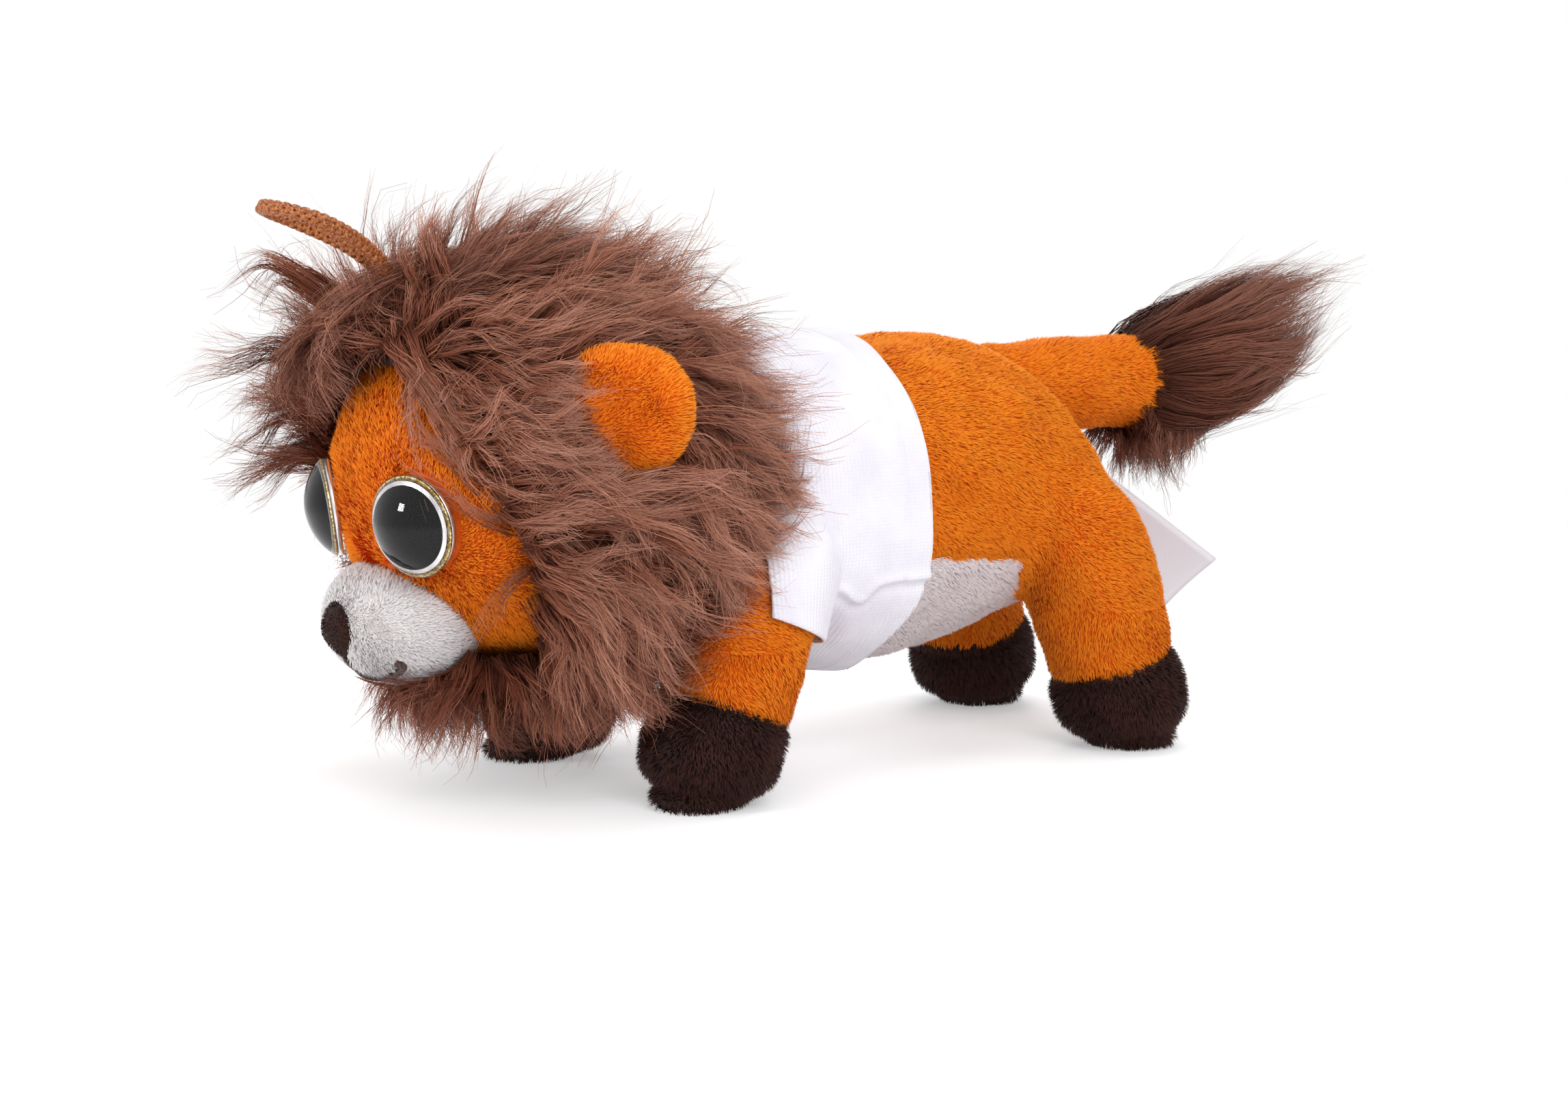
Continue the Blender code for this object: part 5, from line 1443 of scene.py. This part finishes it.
def mane_shares(places):
    """The lock, angle from the front and height of each place on the hood."""
    off = places - MANE_CENTRE
    depth = np.where(off[..., 1] < 0, MANE_SIZE[1], MANE_REAR_DEPTH)
    off = off / np.stack([np.full(depth.shape, MANE_SIZE[0]), depth,
                          np.full(depth.shape, MANE_SIZE[2])], axis=-1)
    level = np.linalg.norm(off, axis=-1)
    back = np.arccos(np.clip(-off[..., 1] / np.maximum(level, 1e-6), -1, 1))
    turn = np.arctan2(off[..., 0], off[..., 2]) % TURN
    start = turn
    for _ in range(2):
        flat = (turn - lock_wave(start, back)) / 2
        start = (2 * np.arctan2(np.sin(flat) / lock_fall(back), np.cos(flat))) % TURN
    return start, back, level


def mane_relief(start, back):
    """Height of the hood's locks and hollows, from 1 at the outline down."""
    lump = (1 + np.sin(2 * MANE_LUMP_STEP_SHARE * MANE_LOCKS * start + 2 * MANE_LUMPS * back)) / 2
    hollow = (1 - np.cos(MANE_LOCKS * start)) / 2
    share = MANE_LUMP_SHARE * lump + MANE_HOLLOW_SHARE * hollow
    return 1 - MANE_LOCK_DEPTH * share * np.sin(back) / MANE_SIZE[0]


def trimmed(strands, beyond, rng):
    """Strands that end where they first come to a place beyond the trim."""
    first = np.where(beyond.any(axis=1), beyond.argmax(axis=1), strands.shape[1])
    limit = (first + rng.uniform(-0.8, 0.4, len(strands))) / (strands.shape[1] - 1)
    return at_each(strands, np.clip(limit, 0.12, 1))


# Where the mane ends: its reach, its foot and its rear on the shirt, each by a place, and its tone by
# height, darkened low on the beard as painted shade
MANE_REACH = 45
MANE_FRONT_Y = -105
MANE_TOP = 90
MANE_FOOT = ((-90, -82, -76, -59, -45), (11, 7.5, 7.5, 12.5, 19.5))
MANE_REAR = ((28, 34, 37, 39.5, 51, 62), (-46, -43, -38, -34, -31, -29))
MANE_TONE_AND_PAINTED_SHADE = ((16, 26, 40, 60), (-0.45, -0.12, 0.16, 0.02))
MANE_GUIDES = 2600


def beyond_reach(strands):
    """Where strands stand out further than the fur's longest locks."""
    wide = np.abs(strands[..., 0]) > MANE_REACH
    return wide | (strands[..., 1] < MANE_FRONT_Y) | (strands[..., 2] > MANE_TOP)


def before_ears(strands):
    """Where strands cross the front of an ear."""
    crossing = np.zeros(strands.shape[:2], bool)
    for sign in (1, -1):
        foot, rise, width, face = ear_frame(sign)
        off = strands - foot
        front = off @ face
        reach = np.hypot((off @ width) / 8.6, (off @ rise - 8.5) / 7.5)
        crossing |= (reach < 1) & (front > -4) & (front < 10)
    return crossing


def bowed(rows):
    """Paths with a strand's steps through four given places each."""
    rows = np.asarray(rows, float)
    return np.stack([smooth_table(row, STRAND_STEPS) for row in rows])


# The hood's own ways: a place, its reach, the way that hair turns there and how far it stands off,
# first for the side that is named and then for both sides
FORELOCK_WAYS = (
    ((1, -87, 74), 8, (0.1, 0.1, 1.0), 0.15),
    ((-12, -87, 72), 10, (-0.75, -0.55, 0.15), 0.04),
    ((-26, -84, 62), 12, (-0.75, -0.65, -0.05), 0.04),
    ((-32, -80, 47), 11, (-0.8, -0.5, -0.3), 0.0),
    ((14, -84, 61), 8, (0.6, 0.3, -0.7), 0.0),
    ((2, -80, 17), 9, (0.1, -0.3, -0.9), 0.12),
)
HOOD_WAYS = (
    ((4, -72, 80), 10, (0.1, 0.7, 0.3), 0.02),
    ((6, -56, 80), 13, (0.2, 0.85, 0.05), 0.0),
    ((12, -40, 68), 14, (0.25, 0.8, -0.4), -0.07),
    ((30, -42, 50), 14, (0.2, 0.7, -0.6), -0.07),
    ((12, -79, 17), 9, (0.1, 0.05, -1.0), 0.04),
    ((22, -68, 22), 11, (0.15, 0.4, -0.8), -0.04),
)
# Single locks, each by four places from root to tip, its width and its share of strands: the lock
# along the near side of the face, the locks under the near ear and the far side's tips
SINGLE_LOCKS = (
    ((5, -85, 65), (10, -86.5, 63), (17, -83.5, 56), (24, -78, 47), 2.2, 2.0),
    ((8, -83, 66), (14, -84, 62), (21, -81, 54), (28, -74, 46), 2.6, 2.0),
    ((16, -80, 60), (21.5, -81, 54), (26, -77, 44), (30, -70, 36), 2.2, 1.6),
    ((22, -77, 50), (26, -77.5, 44), (28, -72, 34), (29, -66, 26), 2.2, 1.4),
    ((27, -74, 47), (31.5, -71.5, 47), (35.5, -66.5, 47.5), (39.5, -59, 49), 2.2, 1.8),
    ((28, -73, 43), (32.5, -70, 43), (36, -65, 44), (39, -57, 46), 2.4, 1.6),
    ((-10, -86, 69), (-17, -90, 74), (-22, -92.5, 75), (-28, -94.5, 72), 2.4, 1.8),
    ((-20, -82, 60), (-25, -89, 62), (-30, -93, 61.5), (-35, -97, 60), 2.4, 1.8),
    ((-25, -76, 46), (-30, -83, 47), (-33, -88, 45), (-36, -92, 42), 2.2, 1.8),
    ((-22, -80, 54), (-27, -86, 53), (-30, -89, 50), (-32, -91, 46), 2.4, 1.8),
    ((5, -80, 70), (6.5, -83.5, 75), (6, -84.5, 78), (5, -82, 81.5), 1.8, 1.6),
    ((7, -78, 70), (8.5, -80.5, 75.5), (8, -80.5, 80), (6, -77, 84), 2.2, 1.8),
)
# Loose wisps over the near cheek and brow
WISPS = (
    ((20, -79, 47), (16, -83, 50.5), (12, -86, 54), (8, -88.8, 57.5), 1.2, 0.35),
    ((23, -77, 42), (20, -80.5, 44), (16.5, -83.5, 47), (13, -86, 51), 1.2, 0.3),
    ((24, -75, 36), (22.5, -77.5, 33), (20, -79, 28), (17, -79, 24), 1.0, 0.25),
)


def hood_ways(here):
    """The ways' pull at each place, its strength and how far hair stands off there."""
    turn = np.zeros(here.shape)
    rise = np.zeros(len(here))
    strength = np.zeros(len(here))
    rows = list(FORELOCK_WAYS)
    rows += [((sign * p[0], p[1], p[2]), reach, (sign * w[0], w[1], w[2]), lift)
             for p, reach, w, lift in HOOD_WAYS for sign in (1, -1)]
    for place, reach, way, lift in rows:
        weight = np.exp(-(np.linalg.norm(here - np.array(place), axis=1) / reach) ** 2)
        turn += weight[:, None] * unit(np.array(way))
        rise += weight * lift
        strength = np.maximum(strength, weight)
    return unit(turn), strength, rise


def build_mane():
    """Hood of long wavy pile round the head: crown, two sides, nape and beard."""
    rng = np.random.default_rng(401)
    ways = unit(rng.normal(size=(7000, 3)))
    roots = HEAD_CENTRE + ways * (HEAD_SIZE + 0.8)
    margin = np.where((roots[:, 0] > 0) & (roots[:, 2] < 52), 0.9, 0.0)
    free = ~off_hood(roots, margin, 24.4) & (body_level(roots, 1.0) > 1) & (roots[:, 1] < -37.5)
    roots = roots[free]
    chin = (roots[:, 2] < 30) & (roots[:, 1] < -50)
    more = roots[MANE_GUIDES:][chin[MANE_GUIDES:]]
    roots = np.concatenate([roots[:MANE_GUIDES], more[:MANE_GUIDES // 6]])
    out = head_normal(roots)
    edge = off_hood(roots, 5.0)
    lengths = np.where(edge, rng.uniform(13, 20, len(roots)), rng.uniform(14, 25, len(roots)))
    lengths = lengths * (1 - 0.2 * smoothstep(roots[:, 1], -60, -46))
    levels = rng.uniform(0.83, 1.01, len(roots))
    sway = rng.normal(0, 0.28, (len(roots), 3))

    def field(here, share):
        """Back along the hood's locks, or each place's own way."""
        start, back, level = mane_shares(here)
        turn, strength, rise = hood_ways(here)
        wanted = (levels + rise) * mane_relief(start, back)
        gather = 0.012 * np.sin(MANE_LOCKS * start)
        ahead = mane_place(start - gather, back + 0.09, level + (wanted - level) * 0.3)
        coat = unit(ahead - here)
        way = coat * (1 - strength)[:, None] + turn * (strength * 1.15)[:, None]
        return unit(way + drift_vector(here, 14, 301) * 0.34 + drift_vector(here, 6, 305) * 0.26 + sway)

    guides = grow(roots, unit(out + 0.3 * rng.normal(size=out.shape)), lengths, field)
    # Tips of the upper locks flick out of the coat
    along = np.linspace(0, 1, STRAND_STEPS)
    flick = rng.uniform(-1, 1.9, len(roots)) * smoothstep(roots[:, 2], 22, 40)
    guides += out[:, None] * (flick[:, None] * along ** 2.5)[..., None]
    guides = np.concatenate([guides, fringe_guides(rng)])

    # Each lock parts into finer ones, and those into strands
    fine, _ = lock_strands(guides, FINE_LOCKS, 1.8, 1.5, 1.1, rng, 13.0)
    strands, index = lock_strands(fine, STRANDS_EACH // FINE_LOCKS, 0.8, 0.45, 0.5, rng, 6.5, 0.18)
    strands = push_out(clear_of_lion(strands), MUZZLE_CENTRE, MUZZLE_SIZE + 0.4)
    strands = trimmed(strands, before_ears(strands), rng)
    foot = np.interp(strands[..., 1], *MANE_FOOT)
    low = strands[..., 2] < foot + rng.uniform(-1.5, 2.5, len(strands))[:, None]
    strands = trimmed(strands, low, rng)
    under_eye = (strands[..., 0] < -10) & (strands[..., 1] < -79) & (strands[..., 2] < 43)
    strands = trimmed(strands, under_eye & (strands[..., 2] > 20), rng)
    strands = trimmed(strands, beyond_reach(strands), rng)
    rear = np.interp(strands[..., 2], *MANE_REAR) + rng.uniform(-1, 3, len(strands))[:, None]
    strands = trimmed(strands, (strands[..., 1] > rear) & (strands[..., 2] < MANE_REAR[0][-1]), rng)
    outward = unit(strands - HEAD_CENTRE)
    home = fine[index, 0]
    # Painted shade darkens the beard low under the head; the sides and the rear are paler
    tone = np.interp(home[:, 2], *MANE_TONE_AND_PAINTED_SHADE)
    tone = tone + 0.16 * smoothstep(home[:, 1], -70, -52)
    crown = home[:, 2] > 58
    beard = (home[:, 2] < 30) & ~crown
    left = (home[:, 0] > 0) & ~crown & ~beard
    right = ~crown & ~beard & ~left
    for name, part in (("mane_crown", crown), ("mane_beard", beard),
                       ("mane_left", left), ("mane_right", right)):
        own = np.unique(index[part], return_inverse=True)[1]
        add_fur(name, strands[part], own, outward[part], MANE_PILE, "head", rng, "mane",
                tone=tone[part])

    for name, table, parts in (("mane_locks", SINGLE_LOCKS, 7), ("mane_wisps", WISPS, 3)):
        paths = bowed([row[:4] for row in table])
        spread = np.array([row[4] for row in table])
        fine, index = lock_strands(paths, parts, spread, 2.0, 0.9, rng, 12.0)
        amount = [max(2, int(table[lock][5] * STRANDS_EACH * 3 / parts)) for lock in index]
        index = np.repeat(np.arange(len(fine)), amount)
        strands, _ = lock_strands(fine[index], 1, 1.1, 0.5, 0.5, rng, 8.0)
        strands = push_out(strands, HEAD_CENTRE, HEAD_SIZE + 1.0)
        strands = trimmed(strands, before_ears(strands) | beyond_reach(strands), rng)
        outward = unit(strands - HEAD_CENTRE)
        width = 1.0 if table is SINGLE_LOCKS else 0.7
        add_fur(name, strands, index, outward, MANE_PILE, "head", rng, "mane", width)


# Across the brow, and the height of the fringe's roots and of its tips
FRINGE_ROOT = ((-24, -18, -12, 0, 6), (47, 53, 59, 61.5, 62))
FRINGE_TIP = ((-24, -14, -4, 6), (51, 53, 54, 62.5))


def fringe_guides(rng):
    """Locks of the fringe, over the far half of the brow."""
    count = 200
    across = rng.uniform(-26, 5.5, count)
    top = np.interp(across, *FRINGE_ROOT)
    root = np.stack([across, np.full(count, -80.0), top + rng.uniform(0.5, 9, count)], axis=-1)
    root = surface_point(root, 1.0)
    foot = np.interp(across, *FRINGE_TIP) + rng.uniform(-0.8, 4, count)
    end = np.stack([across - rng.uniform(1, 6, count), np.full(count, -85.0), foot], axis=-1)
    end = surface_point(end, rng.uniform(1.2, 3.5, count)[:, None])
    lift = rng.uniform(2.5, 8.5, count)[:, None]
    over = root + head_normal(root) * lift - Z * 0.5
    down = end + head_normal(end) * lift * 0.8 + Z * 2.5
    return bowed(np.stack([root, over, down, end], axis=1))


def surface_point(places, lift):
    """Places moved straight forward or back to the head's surface and out by the lift."""
    off = (places - HEAD_CENTRE) / HEAD_SIZE
    flat = np.clip(1 - off[..., 0] ** 2 - off[..., 2] ** 2, 0.02, 1)
    moved = places.copy()
    moved[..., 1] = HEAD_CENTRE[1] - HEAD_SIZE[1] * np.sqrt(flat)
    return moved + head_normal(moved) * lift


build_mane()


TUFT_LENGTH = 45
TUFT_RADIUS = 11.5
TUFT_RISE = 17
TUFT_CURL_POWER = 1.5
# Along the tuft, and its radius, as shares
TUFT_OUTLINE_SHARES = ((0, 0.1, 0.25, 0.42, 0.6, 0.78, 1.0), (0.75, 0.98, 1.0, 0.85, 0.6, 0.32, 0.03))


def tuft_rise(reach):
    """How far the tuft's middle has curled up, at a share of its length."""
    return TUFT_RISE * np.clip(reach, 0, 1) ** TUFT_CURL_POWER


def build_tuft():
    """Tuft of long pile: most locks flow back and curl up to two tips, and some hang down."""
    rng = np.random.default_rng(501)
    root = TAIL_PIVOT + Y * TAIL_LENGTH
    count = 330
    turn = rng.uniform(0, TURN, count)
    ring_place = rng.uniform(0, 1, count)
    radius = (TAIL_RADIUS - 0.5) * (0.35 + 0.65 * ring_place)
    side = np.stack([np.cos(turn), np.zeros(count), np.sin(turn)], axis=-1)
    start = root + side * radius[:, None] - Y * (3.8 * ring_place ** 2 * rng.random(count))[:, None]
    lengths = rng.uniform(26, 45, count)
    upper = rng.random(count) < 0.6

    def field(here, share):
        reach = (here[:, 1] - root[1]) / TUFT_LENGTH
        slope = np.clip(reach, 0, 1) ** (TUFT_CURL_POWER - 1)
        rise = TUFT_RISE * TUFT_CURL_POWER * slope / TUFT_LENGTH
        centre = root + np.outer(here[:, 1] - root[1], Y)
        centre[:, 2] += tuft_rise(reach) + np.where(upper, 1.6, -2.2) * smoothstep(reach, 0.4, 0.9)
        off = here - centre
        off[:, 1] = 0
        size = np.linalg.norm(off, axis=1)
        wanted = TUFT_RADIUS * np.interp(reach, *TUFT_OUTLINE_SHARES) * (0.45 + 0.55 * ring_place)
        pull = np.clip((wanted - size) / 5, -1, 1)
        way = Y + np.outer(rise, Z) + unit(off) * pull[:, None]
        return unit(way + drift_vector(here, 14, 511) * 0.3 + drift_vector(here, 6, 515) * 0.2)

    guides = grow(start, unit(side * 0.6 + Y * 1.0), lengths, field)
    hang = 110
    turn = rng.uniform(-1.0, 1.0, hang) - math.pi / 2
    low = np.stack([np.cos(turn), np.zeros(hang), np.sin(turn)], axis=-1)
    low_start = root + low * TAIL_RADIUS * 0.85 + Y * rng.uniform(-4.5, 9, hang)[:, None]

    def hanging(here, share):
        return unit(-0.9 * Z + Y * (0.25 - 0.3 * share) + drift_vector(here, 9, 521) * 0.45)

    low_guides = grow(low_start, unit(low + Y * 0.3), rng.uniform(6, 11.5, hang), hanging)
    guides = np.concatenate([guides, low_guides])
    fine, _ = lock_strands(guides, FINE_LOCKS, 1.6, 1.1, 0.8, rng, 14.0)
    strands, index = lock_strands(fine, STRANDS_EACH // FINE_LOCKS, 0.75, 0.35, 0.3, rng, 8.0, 0.16)
    middle = root[2] + tuft_rise((strands[..., 1] - root[1]) / TUFT_LENGTH)
    axis = np.stack([np.zeros(strands.shape[:2]), strands[..., 1], middle], axis=-1)
    outward = unit(strands - axis)
    add_fur("tail_tuft_fur", strands, index, outward, TUFT_PILE, "tail", rng, "tail_tuft")


build_tuft()


# Folds of the shirt's side: the crease behind the sleeve, and the side seam's ridge
ARMPIT_CREASE = (
    (22.3, -29.5, 40.5), (22.2, -26.5, 35.6), (21.8, -24.6, 32.0), (20.4, -23.6, 27.8),
    (18.2, -22.8, 24.0), (15.4, -22.0, 20.6),
)
SEAM_RIDGE = (
    (20.8, -23.3, 28.6), (20.7, -20.7, 26.9), (20.9, -19.0, 26.9), (21.6, -17.9, 28.4),
    (22.1, -16.0, 29.3), (22.3, -8.0, 29.6),
)
CLOTH_DEPTH = 0.45
SHIRT_NECK_Y = -41.5
SHIRT_VOXEL = 0.5
HEM_STITCHES = 4.2
WALE_PITCH = 0.64
STITCH_LENGTH = 0.5


def from_route(points, rows):
    """Distance of each point from a route on either side of the body."""
    route = smooth_table(rows, 60)
    folded = points.copy()
    folded[:, 0] = np.abs(folded[:, 0])
    return np.linalg.norm(folded[:, None] - route[None], axis=2).min(axis=1)


def hem_place(points):
    """Where the hem runs, a little further forward under the belly."""
    return SHIRT_HEM_Y - 4.0 * smoothstep(-points[:, 2], -27, -15) - 1.2 * smoothstep(points[:, 2], 52, 64)


def build_shirt():
    """Jersey T-shirt: a tube over the chest with two short sleeves, closed cloth with turned hems."""
    parts = [tube(body_rings(np.linspace(SHIRT_NECK_Y, SHIRT_HEM_Y + 3, 60), SHIRT_LIFT))]
    for leg in ALL_LEGS[:2]:
        parts.append(tube(leg.rings(lift=SLEEVE_LIFT, last=SLEEVE_LENGTH / leg.length + 0.12)))
    points, faces = merged(parts, SHIRT_VOXEL, 14)
    middle = points[faces].mean(axis=1)
    keep = (middle[:, 1] < hem_place(middle)) & (middle[:, 1] > -41)
    for leg in ALL_LEGS[:2]:
        share, off, _ = leg.place(middle)
        keep &= (off > leg.top_radius + 3.5) | (share * leg.length < SLEEVE_LENGTH)
    points, faces = cut_out(points, faces, keep)

    # Cut edges run even
    rim = open_edges(faces)
    ends = np.unique(rim)
    for leg in ALL_LEGS[:2]:
        share, off, _ = leg.place(points[ends])
        mine = (off < leg.top_radius + 4.5) & (np.abs(share * leg.length - SLEEVE_LENGTH) < 1.5)
        points[ends[mine]] += leg.along * (SLEEVE_LENGTH - share[mine] * leg.length)[:, None]
    behind = ends[np.abs(points[ends, 1] - hem_place(points[ends])) < 1.5]
    points[behind, 1] = hem_place(points[behind])
    both = np.concatenate([rim, rim[:, ::-1]])
    number = np.bincount(both[:, 0], minlength=len(points))
    for _ in range(6):
        near = [np.bincount(both[:, 0], points[both[:, 1], axis], len(points)) for axis in range(3)]
        near = np.stack(near, axis=-1)[ends] / number[ends][:, None]
        points[ends] = points[ends] * 0.5 + near * 0.5

    crease = from_route(points, ARMPIT_CREASE)
    points = relaxed(points, faces, 1 - smoothstep(crease, 2.0, 6.5), 70)
    normals = vertex_normals(points, faces)
    lift = 0.3 * drift(points * np.array((1, 0.5, 1)), 15, 601)
    crease = from_route(points, ARMPIT_CREASE)
    behind_crease = from_route(points - np.array((0, 2.4, -0.6)), ARMPIT_CREASE)
    ridge = from_route(points, SEAM_RIDGE)
    under = from_route(points + np.array((0, 0, 1.5)), SEAM_RIDGE)
    lift += -0.2 * np.exp(-(crease / 1.4) ** 2) + 0.5 * np.exp(-(behind_crease / 2.0) ** 2)
    lift += 0.75 * np.exp(-(ridge / 0.8) ** 2) - 0.5 * np.exp(-(under / 1.0) ** 2)
    # The hem is turned up, and its stitches draw it in
    inner = hem_place(points) - points[:, 1]
    lift += 0.18 * (1 - smoothstep(inner, 3.6, HEM_STITCHES))
    lift -= 0.12 * np.exp(-((inner - HEM_STITCHES) / 0.5) ** 2)
    points = points + normals * lift[:, None]
    cloth = thickened(points, faces, CLOTH_DEPTH)
    piece = add_piece("shirt_cloth", cloth, cotton_jersey(), "torso", ("t_shirt",))


def cotton_jersey():
    """Combed cotton jersey: matte and white, with fine wales that run round the body."""
    jersey = new_material("cotton_jersey", {
        "Roughness": 0.85, "Specular IOR Level": 0.2, "Sheen Weight": 0.1,
    })
    tree = jersey.node_tree
    where = add_node(tree, "ShaderNodeTexCoord")
    parts = add_node(tree, "ShaderNodeSeparateXYZ", {"Vector": where.outputs["Object"]})
    waves = []
    # Each wale is a row of stitches
    for axis, pitch in (("Y", WALE_PITCH), ("Z", STITCH_LENGTH)):
        turn = add_node(tree, "ShaderNodeMath", {0: parts.outputs[axis], 1: TURN / (pitch * MM)},
                        operation="MULTIPLY")
        waves.append(add_node(tree, "ShaderNodeMath", {0: turn.outputs[0]}, operation="SINE"))
    knit = add_node(tree, "ShaderNodeMath", {0: waves[1].outputs[0], 1: 0.35, 2: waves[0].outputs[0]},
                    operation="MULTIPLY_ADD")
    dress(jersey, knit.outputs[0], bump=(0.35, 0.12))
    mottle(jersey, 7, 3.0, ((0.35, "#E9E6F0"), (0.65, "#F2F0F7")))
    return jersey


build_shirt()


# Label: its root in the seam, and its ways along, across and square to its face
LABEL_ROOT = np.array((-1.2, 35.3, 44.6))
LABEL_ALONG = np.array((0.223, 0.7777, -0.5878))
LABEL_ACROSS = np.array((-0.6468, -0.3331, -0.6861))
LABEL_FACE = np.array((-0.7293, 0.5332, 0.4287))
LABEL_LENGTH = 33.5
LABEL_END_ROOM = 0.2
LABEL_WIDTH = 12
LABEL_HALF_GAP = 0.28
LABEL_FOLD_START_SHARE = 0.48
LABEL_FOLD_SHARE = 0.04
LABEL_CURL = 1.2
LABEL_CUP = 0.5
RIBBON_DEPTH = 0.15


def build_label():
    """Folded satin ribbon, left bare, sewn in behind the rump."""
    rows = []
    for place in np.linspace(0, 1, 40):
        past_start = place - LABEL_FOLD_START_SHARE
        if past_start < 0:
            reach = place / LABEL_FOLD_START_SHARE
            lift = LABEL_HALF_GAP
        elif past_start > LABEL_FOLD_SHARE:
            reach = (1 - place) / LABEL_FOLD_START_SHARE
            lift = -LABEL_HALF_GAP
        else:
            turn = past_start / LABEL_FOLD_SHARE * math.pi
            reach = 1 + LABEL_HALF_GAP / LABEL_LENGTH * math.sin(turn)
            lift = LABEL_HALF_GAP * math.cos(turn)
        curl = LABEL_CURL * reach ** 2
        centre = LABEL_ROOT + LABEL_ALONG * ((LABEL_LENGTH - LABEL_END_ROOM) * reach)
        centre = centre + LABEL_FACE * (lift - curl * 0.4)
        line = []
        for share in np.linspace(0, 1, 13):
            cup = LABEL_CUP * math.sin(math.pi * share) * reach
            line.append(centre + LABEL_ACROSS * (LABEL_WIDTH * share) + LABEL_FACE * cup)
        rows.append(line)
    points = np.array(rows)
    count, sides = points.shape[:2]
    grid = np.arange(count * sides).reshape(count, sides)
    quads = np.stack([grid[:-1, :-1], grid[:-1, 1:], grid[1:, 1:], grid[1:, :-1]], axis=-1).reshape(-1, 4)
    ribbon = thickened(points.reshape(-1, 3), quads, RIBBON_DEPTH)
    # Woven satin: smooth along its threads, with a soft shine and a fine grain
    satin = new_material("woven_satin_ribbon", {
        "Base Color": linear("#EEEAF0"), "Roughness": 0.4, "Specular IOR Level": 0.4,
        "Sheen Weight": 0.2,
    })
    mottle(satin, 0.4, 2.0, bump=(0.3, 0.1))
    piece = add_piece("label_ribbon", ribbon, satin, "label", ("sewn_label",))


build_label()


def finish_hidden_pieces():
    """Fibre filling and the washers inside, which show only if a skin is taken off."""
    # Moulded polythene: plain, pale and a little waxy
    plastic = new_material("moulded_washer", {"Base Color": linear("#E8E6E0"), "Roughness": 0.5})
    for name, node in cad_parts.items():
        for word, material in (("stuffing", FILLING), ("washer", plastic)):
            if word in name:
                for slot in node.material_slots:
                    slot.material = material


finish_hidden_pieces()


def in_sight(tree):
    """1 for the rays that show a thing: straight to the camera, in a reflection or through glass."""
    rays = add_node(tree, "ShaderNodeLightPath")
    mirrored = add_node(tree, "ShaderNodeMath", {
        0: rays.outputs["Is Glossy Ray"], 1: rays.outputs["Is Transmission Ray"],
    }, operation="MAXIMUM")
    return add_node(tree, "ShaderNodeMath", {
        0: rays.outputs["Is Camera Ray"], 1: mirrored.outputs[0],
    }, operation="MAXIMUM").outputs[0]


FLOOR_HALF_WIDTH = 3000
FLOOR_LEVEL = -0.2
FLOOR_FADE_START = 160
FLOOR_FADE_END = 340
FLOOR_LIFT = 0.35
WORLD_LIGHT = 0.62
# Each lamp's name, place, width and power, in metres and watts, and where they all aim
LAMPS = (
    ("key", (-0.095, -0.86, 0.27), 0.16, 2.5),
    ("side", (0.75, -0.20, 0.50), 0.50, 3.4),
    ("top", (0.0, 0.1, 0.95), 0.60, 2.2),
    ("rim", (-0.6, 0.45, 0.45), 0.40, 1.7),
)
LAMP_AIM = Vector((0, -0.02, 0.04))


def build_stage():
    """Pale floor that keeps the shadow, a white background and plain soft lamps."""
    # Matte paper, which fades into the background's white away from the lion
    material = new_material("floor_paper", {
        "Base Color": linear("#F2F1F2"), "Roughness": 0.95, "Specular IOR Level": 0.1,
    })
    tree = material.node_tree
    shader = tree.nodes["Principled BSDF"]
    where = add_node(tree, "ShaderNodeTexCoord")
    sight = in_sight(tree)
    reach = add_node(tree, "ShaderNodeVectorMath", {0: where.outputs["Object"]}, operation="LENGTH")
    fade = add_node(tree, "ShaderNodeMapRange", {
        "Value": reach.outputs["Value"], "From Min": FLOOR_FADE_START * MM, "From Max": FLOOR_FADE_END * MM,
    }, interpolation_type="SMOOTHSTEP")
    seen = add_node(tree, "ShaderNodeMath", {0: fade.outputs[0], 1: sight}, operation="MULTIPLY")
    glow = add_node(tree, "ShaderNodeMath", {0: sight, 1: FLOOR_LIFT}, operation="MULTIPLY")
    lifted = add_node(tree, "ShaderNodeEmission", {"Strength": glow.outputs[0]})
    near = add_node(tree, "ShaderNodeAddShader", {0: shader.outputs[0], 1: lifted.outputs[0]})
    white = add_node(tree, "ShaderNodeEmission", {"Strength": 1.0})
    mix = add_node(tree, "ShaderNodeMixShader", {
        0: seen.outputs[0], 1: near.outputs[0], 2: white.outputs[0],
    })
    tree.links.new(mix.outputs[0], tree.nodes["Material Output"].inputs["Surface"])
    corners = ((-1, -1), (1, -1), (1, 1), (-1, 1))
    points = [(x * FLOOR_HALF_WIDTH, y * FLOOR_HALF_WIDTH, FLOOR_LEVEL) for x, y in corners]
    mesh = make_mesh("floor", points, [range(4)])
    floor = bpy.data.objects.new("floor", mesh)
    bpy.context.collection.objects.link(floor)
    mesh.materials.append(material)

    world = bpy.data.worlds.new("studio")
    bpy.context.scene.world = world
    world.use_nodes = True
    tree = world.node_tree
    strength = add_node(tree, "ShaderNodeMapRange", {
        "Value": in_sight(tree), "To Min": WORLD_LIGHT, "To Max": 1.0,
    })
    background = tree.nodes["Background"]
    background.inputs["Color"].default_value = linear("#FFFFFF")
    tree.links.new(strength.outputs[0], background.inputs["Strength"])
    for name, place, size, power in LAMPS:
        light = bpy.data.lights.new(name, "AREA")
        light.size = size
        light.energy = power
        lamp = bpy.data.objects.new(name, light)
        lamp.location = place
        aim = LAMP_AIM - Vector(place)
        lamp.rotation_euler = aim.to_track_quat("-Z", "Y").to_euler()
        bpy.context.collection.objects.link(lamp)


build_stage()
bpy.context.scene.view_settings.view_transform = "Standard"
